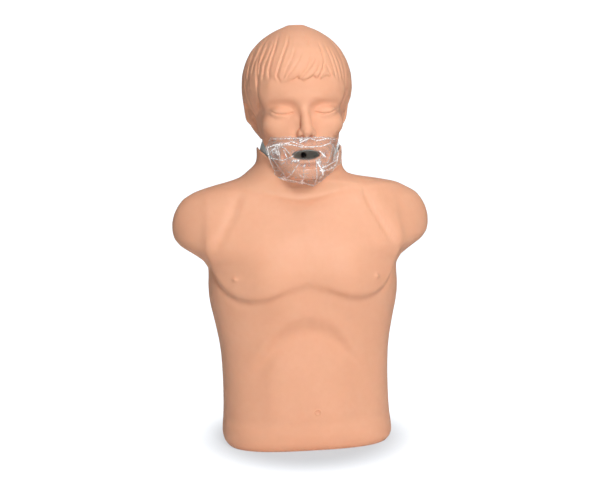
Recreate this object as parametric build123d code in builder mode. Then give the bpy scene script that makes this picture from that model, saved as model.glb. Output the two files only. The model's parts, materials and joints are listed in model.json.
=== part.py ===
from build123d import *

import os
from collections import namedtuple
from math import cos, exp, hypot, pi, radians, sin, sqrt

# Head-and-torso training manikin for mouth-to-mouth and chest compression practice.
# A soft vinyl torso skin is pulled over a foam core with a sprung chest plate.
# A vinyl head with moulded hair tips back and turns on a ball-shaped neck.
# Millimetres. +Z is up and the manikin faces -Y. The origin is the middle of the base.

os.makedirs("parts", exist_ok=True)

# Walls and clearances
skin_wall = 3.0
head_wall = 4.0
fit_gap = 0.3
foam_gap = 4.0
core_gap = 1.5
running_gap = 0.06
section_points = 16

# Base plate that closes the torso skin's turned-under hem
lip_width = 18.0
lip_thickness = 4.0
base_lap = 9.0
base_flange = 6.0

# Screws, all of one size
screw_radius = 2.0
screw_hole_radius = 2.2
screw_head_radius = 4.0
screw_head = 2.4
screw_recess_radius = 1.5
screw_recess = 1.2

# Neck ball, its axle and the swivel below it
neck_y = 5.0
pivot_z = 480.0
ball_radius = 66.0
ball_wall = 4.0
ball_rim_rise = 38.0
ball_gap = 0.8
axle_radius = 4.0
axle_inset = 5.0
boss_radius = 9.0
stem_half_width = 20.0
stem_radius = 13.0
stem_rise = 86.0
stem_bolt_rise = 76.0
stem_bolt_radius = 3.0
stem_bolt_half_length = 34.0
neck_tube_radius = 38.0
neck_flange_radius = 49.0
neck_flange = 8.0
socket_z = 392.0
socket_radius = 56.0
socket_floor = 8.0
socket_screw_circle = 42.0
retainer = 5.0
retainer_screw_circle = 52.5
window_half_width = 14.0
window_rise = 46.0
window_drop = 14.0

# Edge of the torso skin's collar, highest at both sides of the neck
collar_tip_z = 491.0
collar_side_fall = 35.0
collar_front_fall = 57.0
collar_back_fall = 45.0
collar_radius = 73.0

# Frame along the back, bent from one plate
frame_front_y = 64.0
frame_thickness = 6.0
frame_half_width = 52.0
frame_bend = 14.0
shelf_front_y = -50.0
foot_front_y = -44.0
frame_rib = 5.0
frame_rib_x = 38.0
foot_screw_x = 34.0
foot_screw_y = 26.0

# Chest compression unit, on an axis along Y
press_z = 288.0
press_travel = 50.0
plate_front_y = -92.0
plate_thickness = 4.0
plate_half_width = 98.0
plate_half_height = 48.0
plate_curve_radius = 250.0
plate_corner = 14.0
rib_slot_length = 52.0
rib_slot_height = 6.0
rib_slot_count = 4
rib_slot_pitch = 19.0
rib_slot_x = 64.0
boss_depth = 4.0
cavity_room = 8.0
plunger_radius = 15.0
plunger_wall = 4.0
plunger_length = 96.0
plunger_flange_radius = 36.0
plunger_flange = 4.0
plunger_screw_circle = 21.0
plate_screw_drop = 1.0
guide_wall = 4.0
guide_length = 68.0
guide_flange_radius = 40.0
guide_flange = 4.0
guide_screw_circle = 35.0
spring_radius = 28.0
spring_wire = 3.2
spring_turns = 6

# Lung bag on the chest plate, and the soft airway up to the mouth
lung_half_width = 60.0
lung_half_height = 34.0
lung_thickness = 5.0
lung_corner = 20.0
lung_tail_half_width = 12.0
lung_tail_rise = 22.0
airway_radius = 5.0
airway_wall = 1.0
airway_bend = 14.0

# Mouth, nose, eyes and ears
mouth_z = 484.0
mouth_half_width = 23.0
mouth_half_height = 8.5
mouth_depth = 60.0
liner_wall = 1.5
lip_band = 6.0
lip_round = 3.5
lip_front_y = -105.0
lip_root_y = -84.0
lip_curve_radius = 46.0
nostril_x = 7.0
nostril_y = -107.0
nostril_radius = 3.2
nostril_depth = 9.0
eye_x = 34.0
eye_z = 555.0
socket_half_width = 21.0
socket_radius_y = 11.0
socket_centre_y = -92.0
lid_half_width = 15.0
lid_radius = 12.0
lid_centre_y = -74.0
ear_x = 68.0
ear_y = 10.0
ear_z = 545.0
ear_height = 54.0
ear_width = 32.0
ear_depth = 14.0
ear_rim = 5.0
ear_bowl = 4.0
ear_lean = 12.0
ear_splay = radians(20)

# Clear film that covers the mouth, with its sleeve
film_thickness = 0.6
film_half_width = 66.0
film_depth = 62.0
film_front_y = -112.0
film_sleeve_end_y = -70.0
film_sleeve_gap = 0.3
film_bottom_z = 425.0
film_height = 90.0

# Navel ring
navel_x = 8.0
navel_z = 64.0
navel_radius = 4.5
navel_ring = 1.6
navel_proud = 0.8

Level = namedtuple("Level", "height half_width front back fullness chest")
Oval = namedtuple("Oval", "height half_width front back")

# Torso outline, one row a height: half width, depth in front, depth behind,
# squareness of the oval, and how far the chest muscles stand out.
torso_levels = [
    Level(0, 134, 92, 89, 2.4, 0),
    Level(6, 141, 98.5, 95, 2.4, 0),
    Level(14, 143.5, 101.5, 98, 2.4, 0),
    Level(26, 143, 101, 97, 2.4, 0),
    Level(42, 141.5, 99.5, 95, 2.4, 0),
    Level(62, 140.5, 97.5, 93, 2.4, 0),
    Level(84, 140, 95.5, 91.5, 2.4, 0),
    Level(106, 140, 93, 90.5, 2.4, 0),
    Level(128, 140.5, 92, 91.5, 2.4, 0),
    Level(150, 141.5, 92, 94, 2.4, 0),
    Level(172, 144, 92.5, 97, 2.4, 0),
    Level(194, 148, 94.5, 101, 2.4, 0),
    Level(214, 152, 97, 105, 2.4, 0.5),
    Level(232, 155, 100, 108.5, 2.4, 3),
    Level(250, 157, 104, 111, 2.4, 6.5),
    Level(268, 157.5, 107.5, 112.5, 2.4, 8.5),
    Level(284, 157, 109.5, 113.5, 2.4, 9),
    Level(298, 161, 110, 114, 2.4, 8),
    Level(312, 174, 108.5, 114, 2.33, 6.5),
    Level(324, 190, 106.5, 113.5, 2.27, 5.5),
    Level(336, 207, 103.5, 113, 2.2, 4),
    Level(348, 214, 99.5, 111.5, 2.14, 2.5),
    Level(360, 216, 94.5, 110, 2.08, 1.5),
    Level(375, 214, 87, 107, 2.04, 0.5),
    Level(390, 206.5, 78.5, 103, 2, 0),
    Level(403, 196, 71, 98.5, 2, 0),
    Level(414, 180, 66, 94.5, 2, 0),
    Level(424, 157, 63.5, 90.5, 2, 0),
    Level(434, 118, 64, 86.5, 2, 0),
    Level(446, 87.5, 67, 82, 2, 0),
    Level(462, 77.5, 68.5, 79.5, 2, 0),
    Level(478, 74.5, 68.5, 78.5, 2, 0),
    Level(495, 73, 68, 78, 2, 0),
]
chest_x = 66.0
chest_spread = 38.0
foam_top_z = 415.0

# Face and skull without hair: height, half width, foremost and hindmost y.
skull_ovals = [
    Oval(446, 20, -97, -70),
    Oval(452, 30, -102, -58),
    Oval(462, 40, -104, -42),
    Oval(475, 49, -102, -22),
    Oval(490, 56, -100, 2),
    Oval(505, 61, -98, 32),
    Oval(520, 66, -98, 58),
    Oval(540, 70, -97, 76),
    Oval(560, 73, -95, 87),
    Oval(580, 76, -98, 93),
    Oval(600, 78, -97, 96),
    Oval(620, 78, -92, 96),
    Oval(640, 74, -82, 92),
    Oval(660, 64, -65, 80),
    Oval(674, 48, -45, 60),
    Oval(682, 26, -22, 36),
]
# Hair, in the same way.
hair_ovals = [
    Oval(510, 62, -10, 74),
    Oval(525, 74, -30, 86),
    Oval(545, 84, -52, 95),
    Oval(565, 89, -78, 101),
    Oval(590, 92, -99, 104),
    Oval(615, 90.5, -101, 104),
    Oval(635, 84.5, -95, 100),
    Oval(655, 74, -82, 90),
    Oval(672, 58, -63, 72),
    Oval(685, 38, -40, 48),
    Oval(692, 20, -20, 28),
    Oval(695, 9, -8, 16),
]
hollow_cap_z = 620.0
hollow_step_z = 632.0
fringe_depth = 76.0
nose_tip_y = -121.0
# Nose, in the same way, from the bridge down.
nose_ovals = [
    Oval(515, 13, -109, -80),
    Oval(520, 16, -117, -80),
    Oval(527, 14.5, -121, -80),
    Oval(538, 10.5, -113, -80),
    Oval(552, 8.5, -103.5, -80),
    Oval(566, 7, -96, -80),
]
# Lower edge of the fringe, seen from the front, left to right.
fringe_points = [
    (-66, 535),
    (-64, 575),
    (-50, 594),
    (-34, 597),
    (-14, 607),
    (-8, 603),
    (8, 613),
    (22, 604),
    (34, 616),
    (48, 598),
    (62, 580),
    (66, 535),
]
# Outline of the film, seen from the front, clockwise from its upper left corner.
film_points = [
    (-56, 508),
    (-12, 513),
    (52, 507),
    (60, 482),
    (53, 460),
    (17, 430),
    (-39, 442),
    (-56, 470),
    (-63, 491),
]


def torso_ring(level):
    """Outline points of one torso level, squarer than an ellipse, with the chest muscles."""
    points = []
    for i in range(section_points):
        angle = 2 * pi * i / section_points
        side, ahead = sin(angle), cos(angle)
        power = 2 / level.fullness
        x = level.half_width * abs(side) ** power * (1 if side > 0 else -1)
        if ahead > 0:
            y = -level.front * ahead**power
            y -= level.chest * exp(-(((abs(x) - chest_x) / chest_spread) ** 2))
        else:
            y = level.back * (-ahead) ** power
        points.append((x, y))
    return points


def oval_ring(oval):
    """Outline points of one head level: an egg that is widest behind its middle."""
    widest = oval.front + 0.55 * (oval.back - oval.front)
    points = []
    for i in range(section_points):
        angle = 2 * pi * i / section_points
        side, ahead = sin(angle), cos(angle)
        reach = widest - oval.front if ahead > 0 else oval.back - widest
        points.append((oval.half_width * side, widest - reach * ahead))
    return points


def slope_at(rows, i):
    """How steeply the outline rises and widens at one row, as a unit vector."""
    below, above = rows[max(i - 1, 0)], rows[min(i + 1, len(rows) - 1)]
    rise, spread = above.height - below.height, above.half_width - below.half_width
    length = hypot(rise, spread)
    return rise / length, spread / length


def torso_inset(levels, wall):
    """The same levels moved inwards by a wall, square to the outline."""
    inner = []
    for i, level in enumerate(levels):
        rise, spread = slope_at(levels, i)
        inner.append(
            level._replace(
                height=level.height + wall * spread,
                half_width=level.half_width - wall * rise,
                front=level.front - wall,
                back=level.back - wall,
            )
        )
    return inner


def oval_inset(ovals, wall):
    """Head levels moved inwards by a wall, square to the outline."""
    inner = []
    for i, oval in enumerate(ovals):
        rise, spread = slope_at(ovals, i)
        inner.append(
            Oval(
                oval.height + wall * spread,
                oval.half_width - wall * rise,
                oval.front + wall,
                oval.back - wall,
            )
        )
    return inner


def section(height, points):
    """A closed smooth outline through the points, at one height."""
    with BuildSketch(Plane.XY.offset(height)) as outline:
        with BuildLine():
            Spline(*points, periodic=True)
        make_face()
    return outline.sketch


def torso_sections(levels):
    return [section(level.height, torso_ring(level)) for level in levels]


def oval_sections(ovals):
    return [section(oval.height, oval_ring(oval)) for oval in ovals]


def at_height(levels, height):
    """The torso level at one height, between its two neighbours."""
    for low, high in zip(levels, levels[1:]):
        if low.height <= height <= high.height:
            t = (height - low.height) / (high.height - low.height)
            return Level(*(a + t * (b - a) for a, b in zip(low, high)))
    raise ValueError("no torso level at this height")


def narrowed(level, inset):
    """A torso level made smaller all round, in its own plane."""
    return level._replace(
        half_width=level.half_width - inset,
        front=level.front - inset,
        back=level.back - inset,
    )


def face_plane(y, z=0.0, x=0.0):
    """A plane that looks forwards, with its own y upwards."""
    return Plane(origin=(x, y, z), x_dir=(1, 0, 0), z_dir=(0, -1, 0))


def finish(builder, name):
    """Labels a piece and writes it out."""
    builder.part.label = name
    export_step(builder.part, "parts/" + name + ".step")


def screws(length):
    """One pan-head screw at each current location, its head above the plane."""
    Cylinder(screw_head_radius, screw_head, align=(Align.CENTER, Align.CENTER, Align.MIN))
    Cylinder(screw_radius, length, align=(Align.CENTER, Align.CENTER, Align.MAX))


def screw_recesses():
    """The driver recess in each screw head."""
    with Locations((0, 0, screw_head)):
        Cylinder(
            screw_recess_radius,
            screw_recess,
            align=(Align.CENTER, Align.CENTER, Align.MAX),
            mode=Mode.SUBTRACT,
        )


hem = at_height(torso_levels, lip_thickness)
swivel_hole_radius = neck_tube_radius - ball_wall
airway_y = neck_y - swivel_hole_radius + fit_gap + airway_radius
base_top = lip_thickness + base_flange
pivot = (0, neck_y, pivot_z)
flange_bottom = socket_z + socket_floor + fit_gap
retainer_z = flange_bottom + neck_flange + fit_gap
ball_foot_z = pivot_z - sqrt(ball_radius**2 - neck_tube_radius**2)
frame_top_z = socket_z - frame_thickness
frame_back_y = frame_front_y + frame_thickness
plate_back_y = plate_front_y + plate_thickness
flange_front_y = plate_back_y + boss_depth
spring_front_y = flange_front_y + plunger_flange
guide_seat_y = frame_front_y - guide_flange
guide_bore = plunger_radius + running_gap
guide_radius = guide_bore + guide_wall
liner_back_y = neck_y - ball_radius - 2 * ball_gap
liner_front_y = skull_ovals[4].front + head_wall + fit_gap
lung_back_y = plate_front_y - fit_gap
lung_top_z = press_z + lung_half_height
plate_end_y = plate_front_y + plate_curve_radius - sqrt(
    plate_curve_radius**2 - plate_half_width**2
)
cavity_back_y = plate_end_y + 2 * plate_thickness + press_travel

# Torso skin: one hollow vinyl piece with a turned-under hem and a peaked collar.
with BuildPart() as torso_skin:
    loft(torso_sections(torso_levels))
    inner = torso_inset(torso_levels, skin_wall)
    floor_level = narrowed(hem, skin_wall)._replace(height=lip_thickness)
    top_level = inner[-1]._replace(height=inner[-1].height + lip_thickness)
    inner_levels = [floor_level, *[l for l in inner[:-1] if l.height > base_top], top_level]
    loft(torso_sections(inner_levels), mode=Mode.SUBTRACT)
    extrude(section(0, torso_ring(narrowed(hem, lip_width))), amount=base_top, mode=Mode.SUBTRACT)
    with BuildSketch(Plane.YZ):
        with BuildLine():
            tip = (neck_y, collar_tip_z)
            ahead = Spline(
                tip,
                (neck_y - collar_radius / 2, collar_tip_z - collar_side_fall),
                (neck_y - collar_radius, collar_tip_z - collar_front_fall),
                (neck_y - 2 * collar_radius, collar_tip_z - 2 * collar_front_fall),
            )
            behind = Spline(
                tip,
                (neck_y + collar_radius / 2, collar_tip_z - collar_back_fall / 2),
                (neck_y + collar_radius, collar_tip_z - collar_back_fall),
                (neck_y + 2 * collar_radius, collar_tip_z - 2 * collar_back_fall),
            )
            above = collar_tip_z + collar_radius
            Polyline(ahead @ 1, ((ahead @ 1).X, above), ((behind @ 1).X, above), behind @ 1)
        make_face()
    extrude(amount=2 * collar_radius, both=True, mode=Mode.SUBTRACT)
    navel_y = -at_height(torso_levels, navel_z).front
    with BuildSketch(face_plane(navel_y + skin_wall / 2, navel_z, navel_x)):
        Circle(navel_radius)
        Circle(navel_radius - navel_ring, mode=Mode.SUBTRACT)
    extrude(amount=skin_wall / 2 + navel_proud)
finish(torso_skin, "torso_skin")

# Base plate: fills the hem's opening and laps over its lip from inside.
foot_screw_spots = [
    (x, y) for x in (-foot_screw_x, foot_screw_x) for y in (-foot_screw_y, foot_screw_y)
]
with BuildPart() as base_plate:
    extrude(section(0, torso_ring(narrowed(hem, lip_width + fit_gap))), amount=base_top)
    lap_outline = torso_ring(narrowed(hem, lip_width - base_lap))
    extrude(section(lip_thickness, lap_outline), amount=base_flange)
    with Locations(Plane(origin=(0, 0, 0), x_dir=(1, 0, 0), z_dir=(0, 0, -1))):
        with Locations(*foot_screw_spots):
            CounterBoreHole(
                screw_hole_radius, screw_head_radius + fit_gap, screw_head + fit_gap
            )
finish(base_plate, "base_plate")

foot_screw_plane = Plane(
    origin=(0, 0, screw_head + fit_gap), x_dir=(1, 0, 0), z_dir=(0, 0, -1)
)
with BuildPart() as base_screws:
    with Locations(foot_screw_plane):
        with Locations(*foot_screw_spots):
            screws(base_top + frame_thickness - screw_head - fit_gap)
            screw_recesses()
finish(base_screws, "base_screws")


def frame_profile(margin):
    """Side view of the bent plate, with a margin on both faces."""
    middle = frame_thickness / 2
    with BuildSketch(Plane.YZ) as profile:
        with BuildLine():
            FilletPolyline(
                (foot_front_y - margin, base_top + middle),
                (frame_front_y + middle, base_top + middle),
                (frame_front_y + middle, frame_top_z + middle),
                (shelf_front_y - margin, frame_top_z + middle),
                radius=frame_bend,
            )
        trace(line_width=frame_thickness + 2 * margin)
    return profile.sketch


# Back frame: foot, back and shelf from one bent plate, with two ribs behind.
with BuildPart() as back_frame:
    extrude(frame_profile(0), amount=frame_half_width, both=True)
    rib_length = frame_top_z - base_top - 2 * frame_bend
    with Locations(
        *[
            (x, frame_back_y, base_top + frame_bend + rib_length / 2)
            for x in (-frame_rib_x, frame_rib_x)
        ]
    ):
        Box(frame_rib, frame_rib, rib_length, align=(Align.CENTER, Align.MIN, Align.CENTER))
    with Locations(Location((0, neck_y, socket_z))):
        Hole(swivel_hole_radius, depth=frame_thickness)
        with PolarLocations(socket_screw_circle, 4, start_angle=45):
            Hole(screw_radius, depth=frame_thickness)
    with Locations(*[(x, y, base_top + frame_thickness) for x, y in foot_screw_spots]):
        Hole(screw_radius, depth=frame_thickness)
    with Locations(face_plane(frame_front_y, press_z)):
        with PolarLocations(guide_screw_circle, 4, start_angle=45):
            Hole(screw_radius, depth=frame_thickness)
finish(back_frame, "back_frame")

# Swivel socket of the neck, screwed to the shelf.
with BuildPart(Plane(origin=(0, neck_y, socket_z))) as neck_socket:
    Cylinder(
        socket_radius,
        retainer_z - socket_z,
        align=(Align.CENTER, Align.CENTER, Align.MIN),
    )
    with Locations((0, 0, retainer_z - socket_z)):
        Hole(neck_flange_radius + fit_gap, depth=retainer_z - socket_z - socket_floor)
        Hole(swivel_hole_radius)
        with PolarLocations(retainer_screw_circle, 6):
            Hole(screw_radius, depth=2 * screw_head)
    with Locations((0, 0, socket_floor)):
        with PolarLocations(socket_screw_circle, 4, start_angle=45):
            CounterBoreHole(
                screw_hole_radius, screw_head_radius + fit_gap, screw_head + fit_gap
            )
finish(neck_socket, "neck_socket")

socket_screw_z = socket_z + socket_floor - screw_head - fit_gap
with BuildPart() as socket_screws:
    with Locations(Location((0, neck_y, socket_screw_z))):
        with PolarLocations(socket_screw_circle, 4, start_angle=45):
            screws(socket_screw_z - frame_top_z)
            screw_recesses()
finish(socket_screws, "socket_screws")

# Ring that holds the neck's flange down in the socket.
with BuildPart(Plane(origin=(0, neck_y, retainer_z))) as retainer_ring:
    Cylinder(socket_radius, retainer, align=(Align.CENTER, Align.CENTER, Align.MIN))
    with Locations((0, 0, retainer)):
        Hole(neck_tube_radius + fit_gap)
        with PolarLocations(retainer_screw_circle, 6):
            Hole(screw_radius)
finish(retainer_ring, "retainer_ring")

with BuildPart() as retainer_screws:
    with Locations(Location((0, neck_y, retainer_z + retainer))):
        with PolarLocations(retainer_screw_circle, 6):
            screws(retainer + screw_head)
            screw_recesses()
finish(retainer_screws, "retainer_screws")

# Guide tube of the chest plunger, screwed to the frame.
with BuildPart(face_plane(frame_front_y, press_z)) as guide_tube:
    Cylinder(guide_radius, guide_length, align=(Align.CENTER, Align.CENTER, Align.MIN))
    Cylinder(guide_flange_radius, guide_flange, align=(Align.CENTER, Align.CENTER, Align.MIN))
    with Locations((0, 0, guide_length)):
        Hole(guide_bore)
    with Locations((0, 0, guide_flange)):
        with PolarLocations(guide_screw_circle, 4, start_angle=45):
            Hole(screw_hole_radius, depth=guide_flange)
finish(guide_tube, "guide_tube")

with BuildPart() as guide_screws:
    with Locations(face_plane(guide_seat_y, press_z)):
        with PolarLocations(guide_screw_circle, 4, start_angle=45):
            screws(guide_flange + frame_thickness)
            screw_recesses()
finish(guide_screws, "guide_screws")


def curved_slab(half_width, half_height, front_y, thickness, radius, corner):
    """A slab bent about an upright axis behind it, with rounded corners."""
    back_radius = radius - thickness
    reach = half_width + corner
    front_end = front_y + radius - sqrt(radius**2 - reach**2)
    back_end = front_y + radius - sqrt(back_radius**2 - reach**2)
    with BuildPart() as slab:
        with BuildSketch(Plane.XY.offset(press_z - half_height)):
            with BuildLine():
                front = ThreePointArc((-reach, front_end), (0, front_y), (reach, front_end))
                back = ThreePointArc(
                    (-reach, back_end), (0, front_y + thickness), (reach, back_end)
                )
                Line(front @ 0, back @ 0)
                Line(front @ 1, back @ 1)
            make_face()
        extrude(amount=2 * half_height)
        with BuildSketch(face_plane(0, press_z)):
            RectangleRounded(2 * half_width, 2 * half_height, corner)
        extrude(amount=2 * abs(front_y), mode=Mode.INTERSECT)
    return slab.part


# Chest plate: a curved plate with rib slots, and a flat pad behind for the plunger.
with BuildPart() as chest_plate:
    add(
        curved_slab(
            plate_half_width,
            plate_half_height,
            plate_front_y,
            plate_thickness,
            plate_curve_radius,
            plate_corner,
        )
    )
    with BuildSketch(face_plane(plate_back_y - plate_thickness / 4, press_z)):
        Circle(plunger_flange_radius)
    extrude(amount=-plate_thickness / 4 - boss_depth)
    with BuildSketch(face_plane(plate_front_y - plate_thickness, press_z)):
        with GridLocations(2 * rib_slot_x, rib_slot_pitch, 2, rib_slot_count):
            SlotOverall(rib_slot_length, rib_slot_height)
    extrude(amount=-plate_curve_radius / 4, mode=Mode.SUBTRACT)
    with Locations(face_plane(plate_front_y, press_z)):
        with PolarLocations(plunger_screw_circle, 4, start_angle=45):
            CounterBoreHole(
                screw_hole_radius, screw_head_radius + fit_gap, screw_head + plate_screw_drop
            )
finish(chest_plate, "chest_plate")

plate_screw_y = plate_front_y + screw_head + plate_screw_drop
with BuildPart() as plate_screws:
    with Locations(face_plane(plate_screw_y, press_z)):
        with PolarLocations(plunger_screw_circle, 4, start_angle=45):
            screws(spring_front_y - plate_screw_y)
            screw_recesses()
finish(plate_screws, "plate_screws")

# Plunger: a flanged tube that slides in the guide.
plunger_plane = Plane(origin=(0, flange_front_y, press_z), x_dir=(1, 0, 0), z_dir=(0, 1, 0))
with BuildPart(plunger_plane) as plunger:
    Cylinder(plunger_flange_radius, plunger_flange, align=(Align.CENTER, Align.CENTER, Align.MIN))
    Cylinder(plunger_radius, plunger_length, align=(Align.CENTER, Align.CENTER, Align.MIN))
    with Locations((0, 0, plunger_length)):
        Hole(plunger_radius - plunger_wall, depth=plunger_length - plunger_flange)
    with Locations((0, 0, plunger_flange)):
        with PolarLocations(plunger_screw_circle, 4, start_angle=45):
            Hole(screw_radius, depth=plunger_flange)
finish(plunger, "plunger")

# Compression spring, between the plunger's flange and the guide's flange.
spring_length = guide_seat_y - spring_front_y - spring_wire
with BuildPart() as press_spring:
    with BuildLine():
        coil = Helix(
            pitch=spring_length / spring_turns,
            height=spring_length,
            radius=spring_radius,
            center=(0, spring_front_y + spring_wire / 2, press_z),
            direction=(0, 1, 0),
        )
    with BuildSketch(Plane(origin=coil @ 0, z_dir=coil % 0)):
        Circle(spring_wire / 2)
    sweep(path=coil, is_frenet=True)
finish(press_spring, "press_spring")

# Lung bag, flat on the chest plate under the skin.
with BuildPart() as lung_bag:
    add(
        curved_slab(
            lung_half_width,
            lung_half_height,
            lung_back_y - lung_thickness,
            lung_thickness,
            plate_curve_radius + fit_gap + lung_thickness,
            lung_corner,
        )
    )
    with Locations((0, lung_back_y - lung_thickness / 2, lung_top_z)):
        Box(2 * lung_tail_half_width, lung_thickness, 2 * lung_tail_rise)
finish(lung_bag, "lung_bag")

# Soft airway in the torso, from under the swivel to the lung bag.
hose_top_z = socket_z + socket_floor - fit_gap
hose_end_y = lung_back_y + airway_radius / 2
hose_end_z = lung_top_z + lung_tail_rise + 2.5
with BuildPart() as airway_hose:
    with BuildLine():
        route = FilletPolyline(
            (0, airway_y, hose_top_z),
            (0, airway_y, frame_top_z - airway_bend),
            (0, hose_end_y + airway_radius, hose_end_z + airway_bend),
            (0, hose_end_y, hose_end_z),
            radius=airway_bend,
        )
    with BuildSketch(Plane(origin=route @ 0, z_dir=route % 0)):
        Circle(airway_radius)
        Circle(airway_radius - airway_wall, mode=Mode.SUBTRACT)
    sweep(path=route)
finish(airway_hose, "airway_hose")

# Neck ball: a hollow ball on a tube with a flange, open at the top and in front.
with BuildPart() as neck_ball:
    with BuildSketch(Plane.XZ.offset(-neck_y)):
        with BuildLine():
            rim = pivot_z + ball_rim_rise
            inner_radius = ball_radius - ball_wall
            tube_inner = neck_tube_radius - ball_wall
            outer_rim = sqrt(ball_radius**2 - ball_rim_rise**2)
            inner_rim = sqrt(inner_radius**2 - ball_rim_rise**2)
            inner_foot = pivot_z - sqrt(inner_radius**2 - tube_inner**2)
            outer_arc = ThreePointArc(
                (outer_rim, rim), (ball_radius, pivot_z), (neck_tube_radius, ball_foot_z)
            )
            inner_arc = ThreePointArc(
                (inner_rim, rim), (inner_radius, pivot_z), (tube_inner, inner_foot)
            )
            Line(outer_arc @ 0, inner_arc @ 0)
            Polyline(
                outer_arc @ 1,
                (neck_tube_radius, flange_bottom + neck_flange),
                (neck_flange_radius, flange_bottom + neck_flange),
                (neck_flange_radius, flange_bottom),
                (tube_inner, flange_bottom),
                inner_arc @ 1,
            )
        make_face()
    revolve(axis=Axis((0, neck_y, 0), (0, 0, 1)))
    for side in (-1, 1):
        boss_plane = Plane(
            origin=(side * (stem_half_width + fit_gap), neck_y, pivot_z), z_dir=(side, 0, 0)
        )
        with BuildSketch(boss_plane):
            Circle(boss_radius)
        extrude(amount=inner_radius - stem_half_width)
    with BuildSketch(Plane.YZ):
        with Locations((neck_y, pivot_z)):
            Circle(axle_radius)
    extrude(amount=ball_radius, both=True, mode=Mode.SUBTRACT)
    with BuildSketch(face_plane(neck_y - neck_tube_radius, pivot_z)):
        with Locations((0, (window_rise - window_drop) / 2)):
            RectangleRounded(
                2 * window_half_width, window_rise + window_drop, window_half_width - fit_gap
            )
    extrude(amount=ball_radius, mode=Mode.SUBTRACT)
finish(neck_ball, "neck_ball")

with BuildPart(Plane(origin=pivot, z_dir=(1, 0, 0))) as nod_axle:
    Cylinder(axle_radius, 2 * (ball_radius - axle_inset))
finish(nod_axle, "nod_axle")

# Soft airway inside the neck, past the front of the head stem.
with BuildPart() as airway_sleeve:
    with BuildLine():
        route = FilletPolyline(
            (0, neck_y - ball_radius + 2 * ball_wall, mouth_z),
            (0, airway_y - airway_bend, mouth_z),
            (0, airway_y, mouth_z - 2 * airway_bend),
            (0, airway_y, flange_bottom + fit_gap),
            radius=airway_bend,
        )
    with BuildSketch(Plane(origin=route @ 0, z_dir=route % 0)):
        Circle(airway_radius)
        Circle(airway_radius - airway_wall, mode=Mode.SUBTRACT)
    sweep(path=route)
finish(airway_sleeve, "airway_sleeve")

# Head stem: the tongue that hangs the head on the axle.
with BuildPart() as head_stem:
    with BuildSketch(Plane.YZ.offset(-stem_half_width)):
        with Locations((neck_y, pivot_z)):
            Circle(stem_radius)
            Rectangle(2 * stem_radius, stem_rise, align=(Align.CENTER, Align.MIN))
            Circle(axle_radius + running_gap, mode=Mode.SUBTRACT)
        with Locations((neck_y, pivot_z + stem_bolt_rise)):
            Circle(stem_bolt_radius, mode=Mode.SUBTRACT)
    extrude(amount=2 * stem_half_width)
finish(head_stem, "head_stem")

stem_bolt_spot = (0, neck_y, pivot_z + stem_bolt_rise)
with BuildPart(Plane(origin=stem_bolt_spot, z_dir=(1, 0, 0))) as stem_bolt:
    Cylinder(stem_bolt_radius, 2 * stem_bolt_half_length)
finish(stem_bolt, "stem_bolt")


def eye_shapes(centre_y, half_width, radius):
    """Two long rounded shapes side by side at the height of the eyes."""
    with BuildPart() as shapes:
        for side in (-1, 1):
            with BuildSketch(Plane.XY.offset(eye_z)):
                with BuildLine():
                    arc = EllipticalCenterArc(
                        (side * eye_x, centre_y), half_width, radius, arc_size=180
                    )
                    Line(arc @ 0, arc @ 1)
                make_face()
            revolve(axis=Axis((0, centre_y, eye_z), (1, 0, 0)))
    return shapes.part


def head_hollow(wall):
    """The space inside the head, one wall in from the face, the skull and the hair."""
    with BuildPart() as cap:
        loft(oval_sections([o for o in oval_inset(hair_ovals, wall) if o.height > hollow_cap_z]))
        with Locations((0, 0, hollow_step_z + wall)):
            Box(
                4 * skull_ovals[0].height,
                4 * skull_ovals[0].height,
                hollow_step_z,
                align=(Align.CENTER, Align.CENTER, Align.MAX),
                mode=Mode.SUBTRACT,
            )
    with BuildPart() as hollow:
        loft(oval_sections(oval_inset(skull_ovals, wall)))
        add(cap.part)
        add(
            eye_shapes(socket_centre_y, socket_half_width + wall, socket_radius_y + wall),
            mode=Mode.SUBTRACT,
        )
    return hollow.part


def mouth_shape(margin):
    """Outline of the mouth opening, seen from the front, with a margin around it."""
    with BuildSketch(face_plane(0, mouth_z)) as outline:
        Ellipse(mouth_half_width + margin, mouth_half_height + margin)
    return outline.sketch


# Moulded hair, cut away around the face and the ears.
with BuildPart() as hair:
    loft(oval_sections(hair_ovals))
    with BuildSketch(face_plane(nose_tip_y)):
        with BuildLine():
            Polyline(*fringe_points, close=True)
        make_face()
    extrude(amount=-fringe_depth, mode=Mode.SUBTRACT)
    for side in (-1, 1):
        with Locations((side * (ear_x + ear_depth), ear_y, ear_z - ear_rim)):
            Box(2 * ear_depth, ear_width + 2 * ear_rim, 1.4 * ear_height, mode=Mode.SUBTRACT)

# Lips: an oval mound that follows the curve of the jaw.
with BuildPart() as lips:
    extrude(mouth_shape(lip_band), amount=-lip_front_y)
    with Locations((0, lip_front_y + lip_curve_radius, mouth_z)):
        Cylinder(lip_curve_radius, 4 * mouth_half_width, mode=Mode.INTERSECT)
    with Locations((0, 0, mouth_z)):
        Box(4 * mouth_half_width, -2 * lip_root_y, 4 * mouth_half_width, mode=Mode.SUBTRACT)
    fillet(lips.edges().sort_by(Axis.Y)[0], radius=lip_round)

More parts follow.
